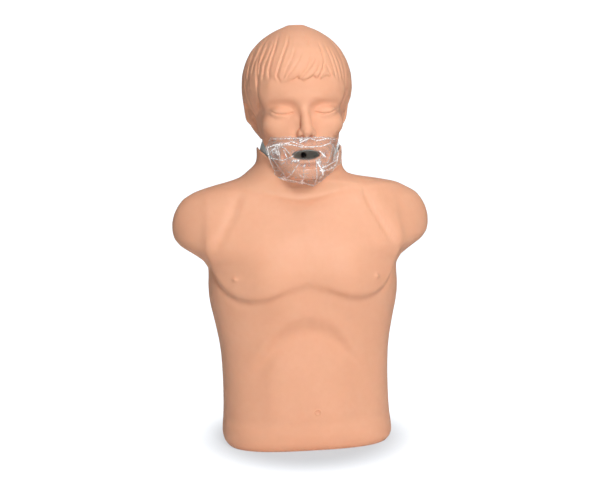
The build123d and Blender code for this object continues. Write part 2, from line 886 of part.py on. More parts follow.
# Head skin: face, ears and moulded hair in one hollow vinyl piece.
with BuildPart() as head_skin:
    loft(oval_sections(skull_ovals))
    add(hair.part)
    loft(oval_sections(nose_ovals))
    add(eye_shapes(socket_centre_y, socket_half_width, socket_radius_y), mode=Mode.SUBTRACT)
    add(eye_shapes(lid_centre_y, lid_half_width, lid_radius))
    for side in (-1, 1):
        ear_plane = Plane(
            origin=(side * ear_x, ear_y, ear_z),
            x_dir=(0, side, 0),
            z_dir=(side * cos(ear_splay), 0, -sin(ear_splay)),
        )
        with BuildSketch(ear_plane):
            Ellipse(ear_width / 2, ear_height / 2, rotation=-side * ear_lean)
        extrude(amount=ear_depth, both=True)
        with BuildSketch(ear_plane.offset(ear_depth)):
            Ellipse(ear_width / 2 - ear_rim, ear_height / 2 - ear_rim, rotation=-side * ear_lean)
        extrude(amount=-ear_bowl, mode=Mode.SUBTRACT)
    add(lips.part)
    add(head_hollow(head_wall), mode=Mode.SUBTRACT)
    with Locations(pivot):
        Sphere(ball_radius + ball_gap, mode=Mode.SUBTRACT)
    extrude(mouth_shape(0), amount=-film_front_y, mode=Mode.SUBTRACT)
    with Locations(*[(x, nostril_y, nose_ovals[0].height) for x in (-nostril_x, nostril_x)]):
        Cylinder(
            nostril_radius,
            nostril_depth,
            align=(Align.CENTER, Align.CENTER, Align.MIN),
            mode=Mode.SUBTRACT,
        )
finish(head_skin, "head_skin")

# Skull core: fills the head skin, with a hollow seat for the neck ball.
with BuildPart() as skull_core:
    add(head_hollow(head_wall + core_gap))
    with Locations(pivot):
        Sphere(ball_radius + ball_gap + fit_gap, mode=Mode.SUBTRACT)
        Box(
            2 * (stem_half_width + fit_gap),
            2 * (stem_radius + fit_gap),
            2 * (stem_rise + fit_gap),
            mode=Mode.SUBTRACT,
        )
    with Locations(Location(stem_bolt_spot, (0, 90, 0))):
        Cylinder(stem_bolt_radius, 2 * stem_bolt_half_length + fit_gap, mode=Mode.SUBTRACT)
    extrude(mouth_shape(liner_wall + fit_gap), amount=-film_front_y, mode=Mode.SUBTRACT)
finish(skull_core, "skull_core")

# Mouth liner: a dark cup behind the lips, with a hole at the back for the airway.
with BuildPart() as mouth_liner:
    add(head_hollow(head_wall + core_gap / 2))
    extrude(mouth_shape(liner_wall), amount=-film_front_y, mode=Mode.INTERSECT)
    with Locations((0, 0, mouth_z)):
        Box(4 * mouth_half_width, -2 * liner_back_y, 4 * mouth_half_width, mode=Mode.SUBTRACT)
    with BuildSketch(face_plane(liner_back_y - liner_wall, mouth_z)):
        Ellipse(mouth_half_width, mouth_half_height)
    extrude(amount=mouth_depth, mode=Mode.SUBTRACT)
    with Locations(face_plane(liner_back_y - liner_wall, mouth_z)):
        Hole(airway_radius, depth=2 * liner_wall)
finish(mouth_liner, "mouth_liner")

# Clear film over mouth and chin, with a flat sleeve that reaches into the mouth.
sleeve_half_width = mouth_half_width - film_sleeve_gap
sleeve_half_height = mouth_half_height - film_sleeve_gap
film_centre_y = film_front_y + film_depth


def film_block(inset):
    """An upright block with the film's curve, some way in from its outer face."""
    with BuildPart() as block:
        with BuildSketch(Plane.XY.offset(film_bottom_z)):
            with Locations((0, film_centre_y)):
                Ellipse(film_half_width - inset, film_depth - inset)
        extrude(amount=film_height)
    return block.part


with BuildPart() as film_sleeve:
    with BuildSketch(face_plane(film_sleeve_end_y, mouth_z)):
        Ellipse(sleeve_half_width, sleeve_half_height)
        Ellipse(
            sleeve_half_width - film_thickness,
            sleeve_half_height - film_thickness,
            mode=Mode.SUBTRACT,
        )
    extrude(amount=film_sleeve_end_y - film_front_y)
    add(film_block(0), mode=Mode.INTERSECT)

with BuildPart() as face_shield:
    with BuildSketch(face_plane(film_centre_y)):
        with BuildLine():
            Polyline(*film_points, close=True)
        make_face()
        with Locations((0, mouth_z)):
            Ellipse(sleeve_half_width, sleeve_half_height, mode=Mode.SUBTRACT)
    extrude(amount=film_depth)
    add(film_block(0), mode=Mode.INTERSECT)
    add(film_block(film_thickness), mode=Mode.SUBTRACT)
    add(film_sleeve.part)
finish(face_shield, "face_shield")

# Foam core: fills the torso skin around the frame, the chest unit and the neck socket.
with BuildPart() as torso_foam:
    foam_levels = torso_inset(torso_levels, skin_wall + foam_gap)
    foam_floor = narrowed(foam_levels[2], foam_gap)._replace(height=base_top + fit_gap)
    foam_cap = at_height(foam_levels, foam_top_z)
    middle_levels = [l for l in foam_levels[3:] if l.height < foam_top_z - foam_gap]
    loft(torso_sections([foam_floor, *middle_levels, foam_cap]))
    slot_half_width = frame_half_width + fit_gap
    extrude(frame_profile(fit_gap), amount=slot_half_width, both=True, mode=Mode.SUBTRACT)
    with Locations((0, frame_front_y - fit_gap, base_top)):
        Box(
            2 * slot_half_width,
            frame_thickness + frame_rib + 2 * fit_gap,
            frame_top_z - base_top,
            align=(Align.CENTER, Align.MIN, Align.MIN),
            mode=Mode.SUBTRACT,
        )
    with Locations((0, neck_y, frame_top_z + frame_thickness)):
        Cylinder(
            socket_radius + foam_gap,
            foam_top_z - frame_top_z,
            align=(Align.CENTER, Align.CENTER, Align.MIN),
            mode=Mode.SUBTRACT,
        )
    with Locations((0, cavity_back_y, press_z)):
        Box(
            2 * (plate_half_width + cavity_room),
            2 * abs(plate_front_y),
            2 * (plate_half_height + cavity_room),
            align=(Align.CENTER, Align.MAX, Align.CENTER),
            mode=Mode.SUBTRACT,
        )
    with Locations((0, airway_y + airway_radius + cavity_room / 2, press_z)):
        Box(
            2 * (lung_tail_half_width + cavity_room / 4),
            2 * abs(plate_front_y),
            frame_top_z - press_z + frame_thickness,
            align=(Align.CENTER, Align.MAX, Align.MIN),
            mode=Mode.SUBTRACT,
        )
    with BuildSketch(face_plane(frame_front_y, press_z)):
        Circle(spring_radius + spring_wire + fit_gap)
    extrude(amount=frame_front_y - cavity_back_y, mode=Mode.SUBTRACT)
    with BuildSketch(face_plane(frame_front_y, press_z)):
        Circle(guide_flange_radius + fit_gap)
    extrude(amount=guide_flange + screw_head + fit_gap, mode=Mode.SUBTRACT)
finish(torso_foam, "torso_foam")
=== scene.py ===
# %% [markdown]
# # A head-and-torso training manikin
# The object is a soft vinyl torso and head used to practise breaths and chest compressions.
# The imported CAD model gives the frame, the moving bodies and the hidden mechanism.
# Everything that shows is modelled again here, in metres, in the same frame.

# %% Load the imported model
import json
import math

import bmesh
import bpy
import numpy as np
import openvdb
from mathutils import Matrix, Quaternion, Vector

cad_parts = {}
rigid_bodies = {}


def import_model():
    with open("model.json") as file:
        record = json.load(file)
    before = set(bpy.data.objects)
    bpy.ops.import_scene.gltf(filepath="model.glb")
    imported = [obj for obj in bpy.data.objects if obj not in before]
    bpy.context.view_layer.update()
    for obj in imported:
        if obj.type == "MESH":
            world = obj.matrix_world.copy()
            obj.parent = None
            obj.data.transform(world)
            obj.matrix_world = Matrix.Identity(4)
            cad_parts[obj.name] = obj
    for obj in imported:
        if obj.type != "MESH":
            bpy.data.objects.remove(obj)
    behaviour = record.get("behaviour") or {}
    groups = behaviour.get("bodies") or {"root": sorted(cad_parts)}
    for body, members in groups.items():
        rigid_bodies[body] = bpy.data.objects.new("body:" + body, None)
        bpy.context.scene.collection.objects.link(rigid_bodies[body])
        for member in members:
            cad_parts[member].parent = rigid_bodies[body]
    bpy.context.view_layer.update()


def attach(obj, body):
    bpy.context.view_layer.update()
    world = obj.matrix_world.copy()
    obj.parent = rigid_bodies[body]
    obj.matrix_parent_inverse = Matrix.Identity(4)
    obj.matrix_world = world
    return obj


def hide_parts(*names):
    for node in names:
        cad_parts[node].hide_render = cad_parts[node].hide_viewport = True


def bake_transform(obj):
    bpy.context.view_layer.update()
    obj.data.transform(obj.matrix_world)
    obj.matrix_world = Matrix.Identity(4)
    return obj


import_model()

# %% [markdown]
# ## Camera
# The photograph was taken from about the height of the head's middle, a little from the
# manikin's right side, with the camera tipped down by some seven degrees and rolled by one and
# a half. The distance and the lens were solved from a dozen points read off the photograph, such
# as the crown, the arm stubs, the nose and the front edge of the base.

# %% Camera
CAMERA_DISTANCE = 2.2
CAMERA_HEIGHT = 0.60
CAMERA_TURN = math.radians(-6.4)
CAMERA_ROLL = math.radians(-1.56)
LENS = 79.0
LOOK_AT = Vector((-0.0028, 0.0, 0.3295))

camera_data = bpy.data.cameras.new("camera")
camera_data.lens = LENS
camera_data.sensor_width = 36.0
camera = bpy.data.objects.new("camera", camera_data)
bpy.context.scene.collection.objects.link(camera)
camera.location = Vector(
    (
        CAMERA_DISTANCE * math.sin(CAMERA_TURN),
        -CAMERA_DISTANCE * math.cos(CAMERA_TURN),
        CAMERA_HEIGHT,
    )
)
aim = (LOOK_AT - camera.location).to_track_quat("-Z", "Y")
camera.rotation_euler = (aim @ Quaternion((0, 0, 1), CAMERA_ROLL)).to_euler()
bpy.context.scene.camera = camera
print("camera at", [round(v, 3) for v in camera.location])

# %% [markdown]
# ## First helpers
# The same small steps come back for every piece: plain lists become a mesh object, closed rings
# of points are joined by faces, and a new material gets its nodes. They are written once, here.

# %% Mesh and material helpers
def add_mesh(name, vertices, faces):
    """A new mesh object from plain lists, smooth shaded."""
    mesh = bpy.data.meshes.new(name)
    mesh.from_pydata(vertices, [], faces)
    mesh.update()
    mesh.polygons.foreach_set("use_smooth", [True] * len(mesh.polygons))
    piece = bpy.data.objects.new(name, mesh)
    bpy.context.scene.collection.objects.link(piece)
    return piece


def ring_quads(rings, columns):
    """Quads between closed rings of points, each with the same number of points."""
    faces = []
    for r in range(rings - 1):
        for c in range(columns):
            d = (c + 1) % columns
            a, b = r * columns, (r + 1) * columns
            faces.append((a + c, a + d, b + d, b + c))
    return faces


def new_material(name):
    """An empty node material with its output and Principled shader."""
    material = bpy.data.materials.new(name)
    material.use_nodes = True
    nodes = material.node_tree.nodes
    return material, nodes, material.node_tree.links, nodes["Principled BSDF"]


print("mesh and material helpers ready")

# %% [markdown]
# ## Floor
# The studio is white all round, with only a soft grey shadow where the base meets the floor.
# Real studio paper gets there by strong light on it. Here the lamps stay at a plain level for the
# object, and the paper glows for the camera alone. The glow fades in an oval around the base,
# which paints a soft, slightly bluish shadow there: the grey paper under it is left, and the real
# shadow that falls on it adds to the painted one.

# %% Floor
PAPER_SWEEP = [(-8, 0), (3, 0), (4, 0.12), (4.8, 0.55), (5.3, 1.3), (5.5, 2.4), (5.5, 8)]
PAPER_HALF_WIDTH = 9.0
# painted shadow: SHADOW_OVAL and GLOW_FADE set where the glow dims round the base, so the grey
# paper there reads as a shadow whatever the lamps do
SHADOW_OVAL = (1.24, 1.55)
GLOW_FADE = (0.085, 0.180, 0.50, 1.1)
# the grey paper and the glow are a little cool, to tint that painted shadow bluish
PAPER, PAINTED_SHADOW_GREY = (0.86, 0.86, 0.86, 1), (0.20, 0.215, 0.23, 1)
PAPER_GLOW = (0.965, 0.985, 1.015, 1)


def curved_backdrop():
    """Floor that sweeps up into a wall behind, far from the object."""
    vertices = []
    faces = []
    for i, (y, z) in enumerate(PAPER_SWEEP):
        vertices += [(-PAPER_HALF_WIDTH, y, z), (PAPER_HALF_WIDTH, y, z)]
        if i:
            a = 2 * i
            faces.append((a - 2, a - 1, a + 1, a))
    return add_mesh("studio_floor", vertices, faces)


floor = curved_backdrop()
paper, nodes, links, shader = new_material("white_paper")
shader.inputs["Base Color"].default_value = PAPER
shader.inputs["Roughness"].default_value = 0.9
shader.inputs["Specular IOR Level"].default_value = 0.0
rays = nodes.new("ShaderNodeLightPath")
seen = nodes.new("ShaderNodeBsdfDiffuse")
seen.inputs["Color"].default_value = PAINTED_SHADOW_GREY
where = nodes.new("ShaderNodeTexCoord").outputs["Object"]
oval = nodes.new("ShaderNodeVectorMath")
oval.operation = "MULTIPLY"
oval.inputs[1].default_value = (1 / SHADOW_OVAL[0], 1 / SHADOW_OVAL[1], 1.0)
links.new(where, oval.inputs[0])
away = nodes.new("ShaderNodeVectorMath")
away.operation = "LENGTH"
links.new(oval.outputs["Vector"], away.inputs[0])
# the glow rises from dim at the base to full outside the oval: the dim part is the painted shadow
fade = nodes.new("ShaderNodeMapRange")
fade.interpolation_type = "SMOOTHSTEP"
for socket, number in zip(fade.inputs[1:5], GLOW_FADE):
    socket.default_value = number
links.new(away.outputs["Value"], fade.inputs["Value"])
glow = nodes.new("ShaderNodeEmission")
glow.inputs["Color"].default_value = PAPER_GLOW
links.new(fade.outputs["Result"], glow.inputs["Strength"])
both = nodes.new("ShaderNodeAddShader")
mix = nodes.new("ShaderNodeMixShader")
output = nodes["Material Output"]
links.new(seen.outputs[0], both.inputs[0])
links.new(glow.outputs[0], both.inputs[1])
links.new(rays.outputs["Is Camera Ray"], mix.inputs[0])
links.new(shader.outputs[0], mix.inputs[1])
links.new(both.outputs[0], mix.inputs[2])
links.new(mix.outputs[0], output.inputs["Surface"])
floor.data.materials.append(paper)
print("floor", floor.name)

# %% [markdown]
# ## Lamps and world
# The photograph has one broad light from the front and above, a little to the right: it shades
# the flank on the left and leaves no hard edge anywhere. A weak lamp fills that side, and one
# from above picks out the crown and the shoulders. The world is white to the camera, so that a
# view past the backdrop's edge stays white, and much weaker as a light.

# %% Lamps and world
CAMERA_WHITE = 1.0
WORLD_LIGHT = 0.16


def soft_lamp(name, place, aim, size, watts):
    """A square area lamp that looks at a point."""
    data = bpy.data.lights.new(name, "AREA")
    data.shape = "SQUARE"
    data.size = size
    data.energy = watts
    lamp = bpy.data.objects.new(name, data)
    bpy.context.scene.collection.objects.link(lamp)
    lamp.location = place
    lamp.rotation_euler = (Vector(aim) - Vector(place)).to_track_quat("-Z", "Y").to_euler()
    return lamp


soft_lamp("key_lamp", (0.40, -2.6, 1.9), (0.0, 0.0, 0.38), 0.9, 58)
soft_lamp("fill_lamp", (-1.4, -2.4, 0.9), (0.0, 0.0, 0.35), 1.4, 4)
soft_lamp("top_lamp", (0.3, -0.4, 2.6), (0.0, 0.0, 0.4), 1.2, 10)
world = bpy.data.worlds.new("studio")
bpy.context.scene.world = world
world.use_nodes = True
background = world.node_tree.nodes["Background"]
background.inputs["Color"].default_value = (1, 1, 1, 1)
world_rays = world.node_tree.nodes.new("ShaderNodeLightPath")
strength = world.node_tree.nodes.new("ShaderNodeMapRange")
strength.inputs["To Min"].default_value = WORLD_LIGHT
strength.inputs["To Max"].default_value = CAMERA_WHITE
world.node_tree.links.new(world_rays.outputs["Is Camera Ray"], strength.inputs["Value"])
world.node_tree.links.new(strength.outputs["Result"], background.inputs["Strength"])
bpy.context.scene.view_settings.view_transform = "Standard"

# %% [markdown]
# ## Working clay for the head
# The real head is a rotomoulded vinyl shell: face, ears and hair in one skin, with no edges
# between them. It could be built from one subdivided cage, but soft forms that melt into each
# other are easier as a distance field. Each form is a small formula, a smooth union joins it to
# the rest, and the finished field is turned into one skin of quads.
# All sizes of the clay are in millimetres. The step between its cells sets how fine the skin is:
# 1.57 mm still shows a lid line, and keeps the head under 200,000 triangles.

# %% A block of clay
CLAY_STEP = 1.57
CLAY_LOW = (-98.0, -130.0, 424.0)
CLAY_HIGH = (98.0, 112.0, 704.0)

clay_x, clay_y, clay_z = (
    np.arange(low, high, CLAY_STEP, dtype=np.float32) for low, high in zip(CLAY_LOW, CLAY_HIGH)
)
print("clay cells", len(clay_x), len(clay_y), len(clay_z))

# %% Clay tools
def melt(a, b, softness):
    """Smooth union of two distances."""
    h = np.clip(0.5 + 0.5 * (b - a) / softness, 0, 1)
    return b + (a - b) * h - softness * h * (1 - h)


def carve(a, b, softness):
    """Distance a with the form b smoothly taken out of it."""
    return -melt(-a, b, softness)


def part_of_clay(low, high):
    """Slices and coordinates of the clay inside a box."""
    cut = []
    for axis, lo, hi in zip((clay_x, clay_y, clay_z), low, high):
        cut.append(slice(int(np.searchsorted(axis, lo)), int(np.searchsorted(axis, hi)) + 1))
    x = clay_x[cut[0]][:, None, None]
    y = clay_y[cut[1]][None, :, None]
    z = clay_z[cut[2]][None, None, :]
    return tuple(cut), x, y, z


def bump(field, centre, radii, softness, take=False):
    """Adds an ellipsoid to the clay, or takes it out."""
    reach = max(radii) + 2.5 * softness
    cut, x, y, z = part_of_clay([c - reach for c in centre], [c + reach for c in centre])
    dx, dy, dz = x - centre[0], y - centre[1], z - centre[2]
    k0 = np.sqrt((dx / radii[0]) ** 2 + (dy / radii[1]) ** 2 + (dz / radii[2]) ** 2)
    k1 = np.sqrt(
        (dx / radii[0] ** 2) ** 2 + (dy / radii[1] ** 2) ** 2 + (dz / radii[2] ** 2) ** 2
    )
    form = k0 * (k0 - 1) / np.maximum(k1, 1e-6)
    field[cut] = carve(field[cut], form, softness) if take else melt(field[cut], form, softness)


def rod(field, start, end, start_radius, end_radius, softness, take=False):
    """Adds or takes out a tapered rod with round ends."""
    a, b = np.array(start, float), np.array(end, float)
    reach = max(start_radius, end_radius) + 2.5 * softness
    cut, x, y, z = part_of_clay(np.minimum(a, b) - reach, np.maximum(a, b) + reach)
    run = b - a
    t = ((x - a[0]) * run[0] + (y - a[1]) * run[1] + (z - a[2]) * run[2]) / run.dot(run)
    t = np.clip(t, 0, 1)
    distance = np.sqrt(
        (x - a[0] - t * run[0]) ** 2 + (y - a[1] - t * run[1]) ** 2 + (z - a[2] - t * run[2]) ** 2
    )
    form = distance - (start_radius + t * (end_radius - start_radius))
    field[cut] = carve(field[cut], form, softness) if take else melt(field[cut], form, softness)


print("clay tools: melt, carve, bump, rod")

# %% [markdown]
# ## Skull, jaw and hair mass
# The head is a stack of egg-shaped outlines, chosen like those that the CAD model is lofted
# through, and trimmed against the photograph. A lofted surface would do as well, but a field can
# melt into the face. Reading the table as smooth curves of height gives a rounder form than
# straight lines, so each column is blurred a little along its height.
# Each row is: height, half width, front and back.

# %% Head outlines
JAW_BOTTOM = 446.5
HAIR_BOTTOM = 508.0
SKULL_TOP = 684.0
CROWN = 695.0
SKULL_ROWS = [
    (440, 12, -92, -78),
    (446, 22, -98, -70),
    (452, 31, -102, -58),
    (462, 41, -104, -42),
    (475, 50, -103, -22),
    (490, 57, -100, 2),
    (505, 62, -98, 32),
    (520, 66, -97, 58),
    (540, 70, -96, 76),
    (560, 73, -94, 87),
    (580, 76, -97, 93),
    (600, 78, -96, 96),
    (620, 78, -91, 96),
    (640, 74, -81, 92),
    (660, 64, -64, 80),
    (674, 48, -44, 60),
    (682, 26, -21, 36),
    (686, 4, -4, 8),
]
HAIR_ROWS = [
    (505, 58, 0, 70),
    (510, 62, -10, 75),
    (525, 74, -30, 86),
    (545, 84, -52, 95),
    (565, 89, -78, 101),
    (590, 92, -101, 104),
    (615, 90.5, -102.5, 104),
    (635, 84.5, -96, 100),
    (655, 74, -82.5, 90),
    (672, 58, -63, 72),
    (685, 38, -41, 49),
    (692, 22, -23, 30),
    (696, 6, -5, 12),
]


def smooth_column(rows, column, z, blur):
    """One column of a table as a smooth curve of height."""
    fine = np.arange(rows[0][0] - 30, rows[-1][0] + 30, 0.5)
    values = np.interp(fine, [r[0] for r in rows], [r[column] for r in rows])
    window = np.exp(-0.5 * (np.arange(-60, 61) / (blur / 0.5)) ** 2)
    values = np.convolve(np.pad(values, 60, "edge"), window / window.sum(), "valid")
    return np.interp(z, fine, values).astype(np.float32)


def egg_stack(rows, top, blur=4.0):
    """Distance to a stack of egg-shaped outlines, closed off at the top."""
    half = smooth_column(rows, 1, clay_z, blur)
    front = smooth_column(rows, 2, clay_z, blur)
    back = smooth_column(rows, 3, clay_z, blur)
    middle = (front + 0.55 * (back - front))[None, None, :]
    x, y = clay_x[:, None, None], clay_y[None, :, None]
    ahead = y < middle
    reach = np.where(ahead, middle - front[None, None, :], back[None, None, :] - middle)
    half = np.maximum(half, 3.0)[None, None, :]
    ring = np.sqrt((x / half) ** 2 + ((y - middle) / np.maximum(reach, 3.0)) ** 2)
    size = np.sqrt(x**2 + (y - middle) ** 2) / np.maximum(ring, 1e-3)
    distance = (ring - 1) * np.minimum(size, 90.0)
    slope = np.sqrt(sum(g**2 for g in np.gradient(distance, CLAY_STEP)))
    distance = distance / np.clip(slope, 0.6, 3.0)
    return np.maximum(distance, clay_z[None, None, :] - top).astype(np.float32)


head = egg_stack(SKULL_ROWS, SKULL_TOP)
head = np.maximum(head, JAW_BOTTOM - clay_z[None, None, :])
hair = egg_stack(HAIR_ROWS, CROWN)
hair = np.maximum(hair, HAIR_BOTTOM - clay_z[None, None, :])
print("skull and hair fields", head.shape)

# %% [markdown]
# ## Face
# The face is calm, with closed eyes and an open mouth for the airway. Its forms are those any
# sculptor blocks in first: brows, sockets, cheekbones, nose, the mound of the mouth, chin.
# Each is an ellipsoid or rod with its own softness, so that a brow fades and a nostril is crisp.
# A line gives its centre, its three radii and its softness, and take means that it is carved out.

# %% Brow, cheeks and sockets
for side in (-1, 1):
    bump(head, (side * 19, -83, 578), (17, 12.5, 9), 12)  # inner brow
    bump(head, (side * 41, -69, 579), (16, 12.5, 9), 12)  # outer brow
    bump(head, (side * 45, -63, 534), (20, 21, 18), 18)  # cheekbone
    bump(head, (side * 50, -56, 590), (21, 21, 30), 13)  # temple
    bump(head, (side * 31, -99.5, 559), (20, 15.5, 12), 12, take=True)  # eye socket
    bump(head, (side * 50, -88, 557), (8, 11, 8), 12, take=True)  # its outer corner
    bump(head, (side * 34, -73.5, 553.5), (19.5, 15.5, 13), 6)  # closed lid over the eyeball
    bump(head, (side * 66, -68, 488), (12, 20, 22), 18, take=True)  # hollow under the cheek
bump(head, (0, -86, 575), (13, 11, 11), 9)  # between the brows
bump(head, (0, -76, 598), (54, 18, 27), 16)  # forehead
print("brows, sockets, lids and cheekbones")

# %% [markdown]
# The nose is two rods end to end, a ball for the tip, a wing on each side and the strip between
# the nostrils. A straight rod for the whole bridge would be too even: the second one is fuller.

# %% Nose
TIP_X = 1.5
rod(head, (-1, -87, 570), (1, -106, 534), 6.3, 7.2, 8)  # bridge
rod(head, (1, -102, 538), (TIP_X, -109, 526), 7.6, 8.6, 5)  # fuller lower half
bump(head, (TIP_X, -109.5, 524.5), (9.2, 11.4, 8.4), 4)  # tip
for side in (-1, 1):
    bump(head, (TIP_X + side * 10.8, -101.5, 521), (6.2, 10.5, 6.6), 4)  # wing
    bump(head, (TIP_X + side * 20.5, -101, 529), (4.5, 7, 11), 9, take=True)  # beside the wing
bump(head, (0, -106, 517), (4.4, 9.5, 3.6), 3)  # between the nostrils
for side in (-1, 1):
    bump(head, (side * 7.2, -106.5, 513.2), (3.9, 6.6, 4.4), 1.8, take=True)  # nostril
print("nose")

# %% [markdown]
# The mouth stands open for the airway. The lips are one rounded ring on the mound of the teeth,
# written as a formula: bending a torus around the jaw would give the same, with less control
# over how full each lip is.

# %% Mouth, chin and jaw
MOUTH_Z = 486.3
LIP_HALF_WIDTH, LIP_HALF_HEIGHT = 26.5, 11.8
UPPER_LIP, LOWER_LIP = 4.8, 6.6
bump(head, (0, -78, 487), (38, 24.5, 29), 14)  # mound of the mouth


def lips(field):
    """A rounded oval ring around the mouth, fuller below, bent around the jaw."""
    cut, x, y, z = part_of_clay((-42, -116, 462), (42, -78, 506))
    across, up = x, z - MOUTH_Z - 0.03 * np.abs(x)
    ring = np.sqrt((across / LIP_HALF_WIDTH) ** 2 + (up / LIP_HALF_HEIGHT) ** 2)
    size = np.sqrt(across**2 + up**2) / np.maximum(ring, 1e-3)
    beside = (ring - 1) * size
    bend = y - (-101.0 + across**2 / 92.0)
    bow = 1.4 * np.exp(-((across / 4.0) ** 2)) * (up > 0)
    corner = np.clip(np.abs(across) / 27, 0, 1)
    fullness = np.where(up > 0, UPPER_LIP, LOWER_LIP) * (1 - 0.28 * corner**2)
    form = np.sqrt(beside**2 + (0.9 * bend) ** 2) - fullness + bow
    field[cut] = melt(field[cut], form, 2.6)


lips(head)
for side in (-1, 1):
    bump(head, (side * 33, -94, 483), (4.5, 7, 6), 5, take=True)  # corner of the mouth
bump(head, (0, -109, 466), (19, 10, 4.8), 5, take=True)  # groove under the lower lip
bump(head, (0, -86.5, 455.5), (21, 17.5, 11.5), 9)  # chin
rod(head, (0, -106.5, 509), (0, -108.5, 499), 2.2, 3.0, 3.5, take=True)  # groove under the nose
for side in (-1, 1):  # fold from the nose to the mouth
    rod(head, (side * 20, -103, 516), (side * 34, -97, 494), 1.6, 1.6, 7, take=True)
print("mouth mound, lips and chin")

# %% [markdown]
# The lids are closed. Their meeting line and the crease above are thin grooves, made by lifting
# the field along a curve drawn from the front. That keeps them on the rounded lid.

# %% Lid lines and mouth opening
def front_groove(field, across, heights, width, depth, y_limit=-60.0):
    """A soft groove that follows a curve drawn on the front of the face."""
    low = (min(across) - 4, -118, min(heights) - 8)
    high = (max(across) + 4, y_limit, max(heights) + 8)
    cut, x, y, z = part_of_clay(low, high)
    order = np.argsort(across)
    line = np.interp(x, np.array(across)[order], np.array(heights)[order])
    ends = np.clip((x - low[0] - 2) / 6, 0, 1) * np.clip((high[0] - 2 - x) / 6, 0, 1)
    field[cut] += (depth * ends * np.exp(-(((z - line) / width) ** 2))).astype(np.float32)


LID_X = (16, 21, 28, 35, 42, 49, 53)
LID_LINE = [554.5, 552.6, 550.8, 550.4, 551.4, 554.0, 556.4]
LID_CREASE = [557.5, 560.5, 563.0, 564.0, 563.4, 561.2, 559.0]
UNDER_EYE = [549.5, 545.5, 542.6, 541.8, 542.6, 545.0, 548.5]
for side in (-1, 1):
    line_x = [side * v for v in LID_X]
    front_groove(head, line_x, LID_LINE, 1.35, 2.9)
    front_groove(head, line_x, LID_CREASE, 1.8, 0.6)
    front_groove(head, line_x, UNDER_EYE, 2.8, 0.35)


def mouth_hollow(field, half_width, half_height, front, back, softness):
    """Takes out an oval tunnel that runs back from the lips."""
    cut, x, y, z = part_of_clay(
        (-half_width - 8, front - 2, MOUTH_Z - half_height - 8),
        (half_width + 8, back + 8, MOUTH_Z + half_height + 8),
    )
    up = z - MOUTH_Z
    ring = np.sqrt((x / half_width) ** 2 + (up / half_height) ** 2)
    size = np.sqrt(x**2 + up**2) / np.maximum(ring, 1e-3)
    form = np.maximum(np.maximum((ring - 1) * size, front - y), y - back)
    field[cut] = carve(field[cut], form, softness)


mouth_hollow(head, 22.6, 8.2, -125, -60, 2.2)  # the opening between the lips
mouth_hollow(head, 25.2, 10.8, -93.5, -54, 0.6)  # wider behind, where the lining sits
print("lid lines and mouth opening")

# %% [markdown]
# ## Ears
# Each ear is a dished oval that stands away from the head at its back edge: a rolled rim, an
# inner ridge, a bowl, the small flap in front of the ear hole, and the lobe.
# It is built in its own coordinates, up and back along the ear, and outwards from the head.
# A modelled ear joined on afterwards would leave a seam, and this one melts into the head.

# %% Ears
EAR_Y, EAR_Z = 11, 545
EAR_LEAN = math.radians(9)
EAR_TUCK = {-1: 0.034, 1: 0.012}


def ear(field, side):
    """Adds one ear. The lobe is tucked in by EAR_TUCK, more on the left as it is seen."""
    cut, x, y, z = part_of_clay(
        (-100 if side < 0 else 58, -16, 508), (-58 if side < 0 else 100, 42, 584)
    )
    along = (y - EAR_Y) * math.cos(EAR_LEAN) - (z - EAR_Z) * math.sin(EAR_LEAN)
    up = (z - EAR_Z) * math.cos(EAR_LEAN) + (y - EAR_Y) * math.sin(EAR_LEAN)
    tuck = EAR_TUCK[side]
    out = side * x - (71.5 + 0.22 * up - tuck * np.minimum(up, 0) ** 2 + 0.52 * along)
    # the plate and its rolled rim, on an oval that narrows to the lobe
    narrow = 1.0 - 0.16 * np.clip(-up / 27, 0, 1)
    oval = np.sqrt((along / (15.5 * narrow)) ** 2 + (up / 27.5) ** 2)
    size = np.sqrt(along**2 + up**2) / np.maximum(oval, 1e-3)
    beside = (oval - 1) * size
    plate = np.maximum(beside + 1.5, np.abs(out) - 2.6)
    rim = np.sqrt(beside**2 + (out - 2.4) ** 2) - 3.1
    # the inner ridge, open towards the face
    inner = np.sqrt((along + 1.5) ** 2 / 8.2**2 + (up - 1.5) ** 2 / 16.5**2)
    inner_size = np.sqrt((along + 1.5) ** 2 + (up - 1.5) ** 2) / np.maximum(inner, 1e-3)
    ridge = np.sqrt(((inner - 1) * inner_size) ** 2 + (out - 1.8) ** 2) - 2.0
    ridge = np.where(along < -5, ridge + (-5 - along) * 0.8, ridge)
    # the lobe, the flap in front of the ear hole, and the root that joins the ear to the head
    lobe = np.sqrt((along + 4) ** 2 + ((up + 24) / 1.1) ** 2 + ((out - 0.5) * 1.4) ** 2) - 6.8
    flap = np.sqrt((along + 12.5) ** 2 + ((up + 5) / 1.3) ** 2 + (out - 1.5) ** 2) - 4.2
    root = np.sqrt(((along + 3) / 12) ** 2 + (up / 22) ** 2 + ((out + 6) / 7) ** 2) - 1
    form = melt(plate, rim, 1.6)
    form = melt(form, ridge, 1.4)
    form = melt(form, lobe, 3.0)
    form = melt(form, flap, 2.0)
    form = melt(form, root * 8, 4.0)
    bowl = np.sqrt(((along + 1) / 7.0) ** 2 + ((up + 6) / 9.5) ** 2 + ((out - 4.5) / 7.0) ** 2) - 1
    form = carve(form, bowl * 7, 1.6)
    field[cut] = melt(field[cut], form.astype(np.float32), 3.0)


for side in (-1, 1):
    ear(head, side)
print("ears")

# %% [markdown]
# ## Moulded hair
# The hair is part of the same skin: a smooth mass a few millimetres proud of the skull, with
# broad locks that fall from the crown. It ends in a fringe over the forehead and in front of the
# ears. Strands or cards of hair would look like a wig, and this is one hard moulding.
# The mass is cut back first, along the fringe as it runs across the front of the head.

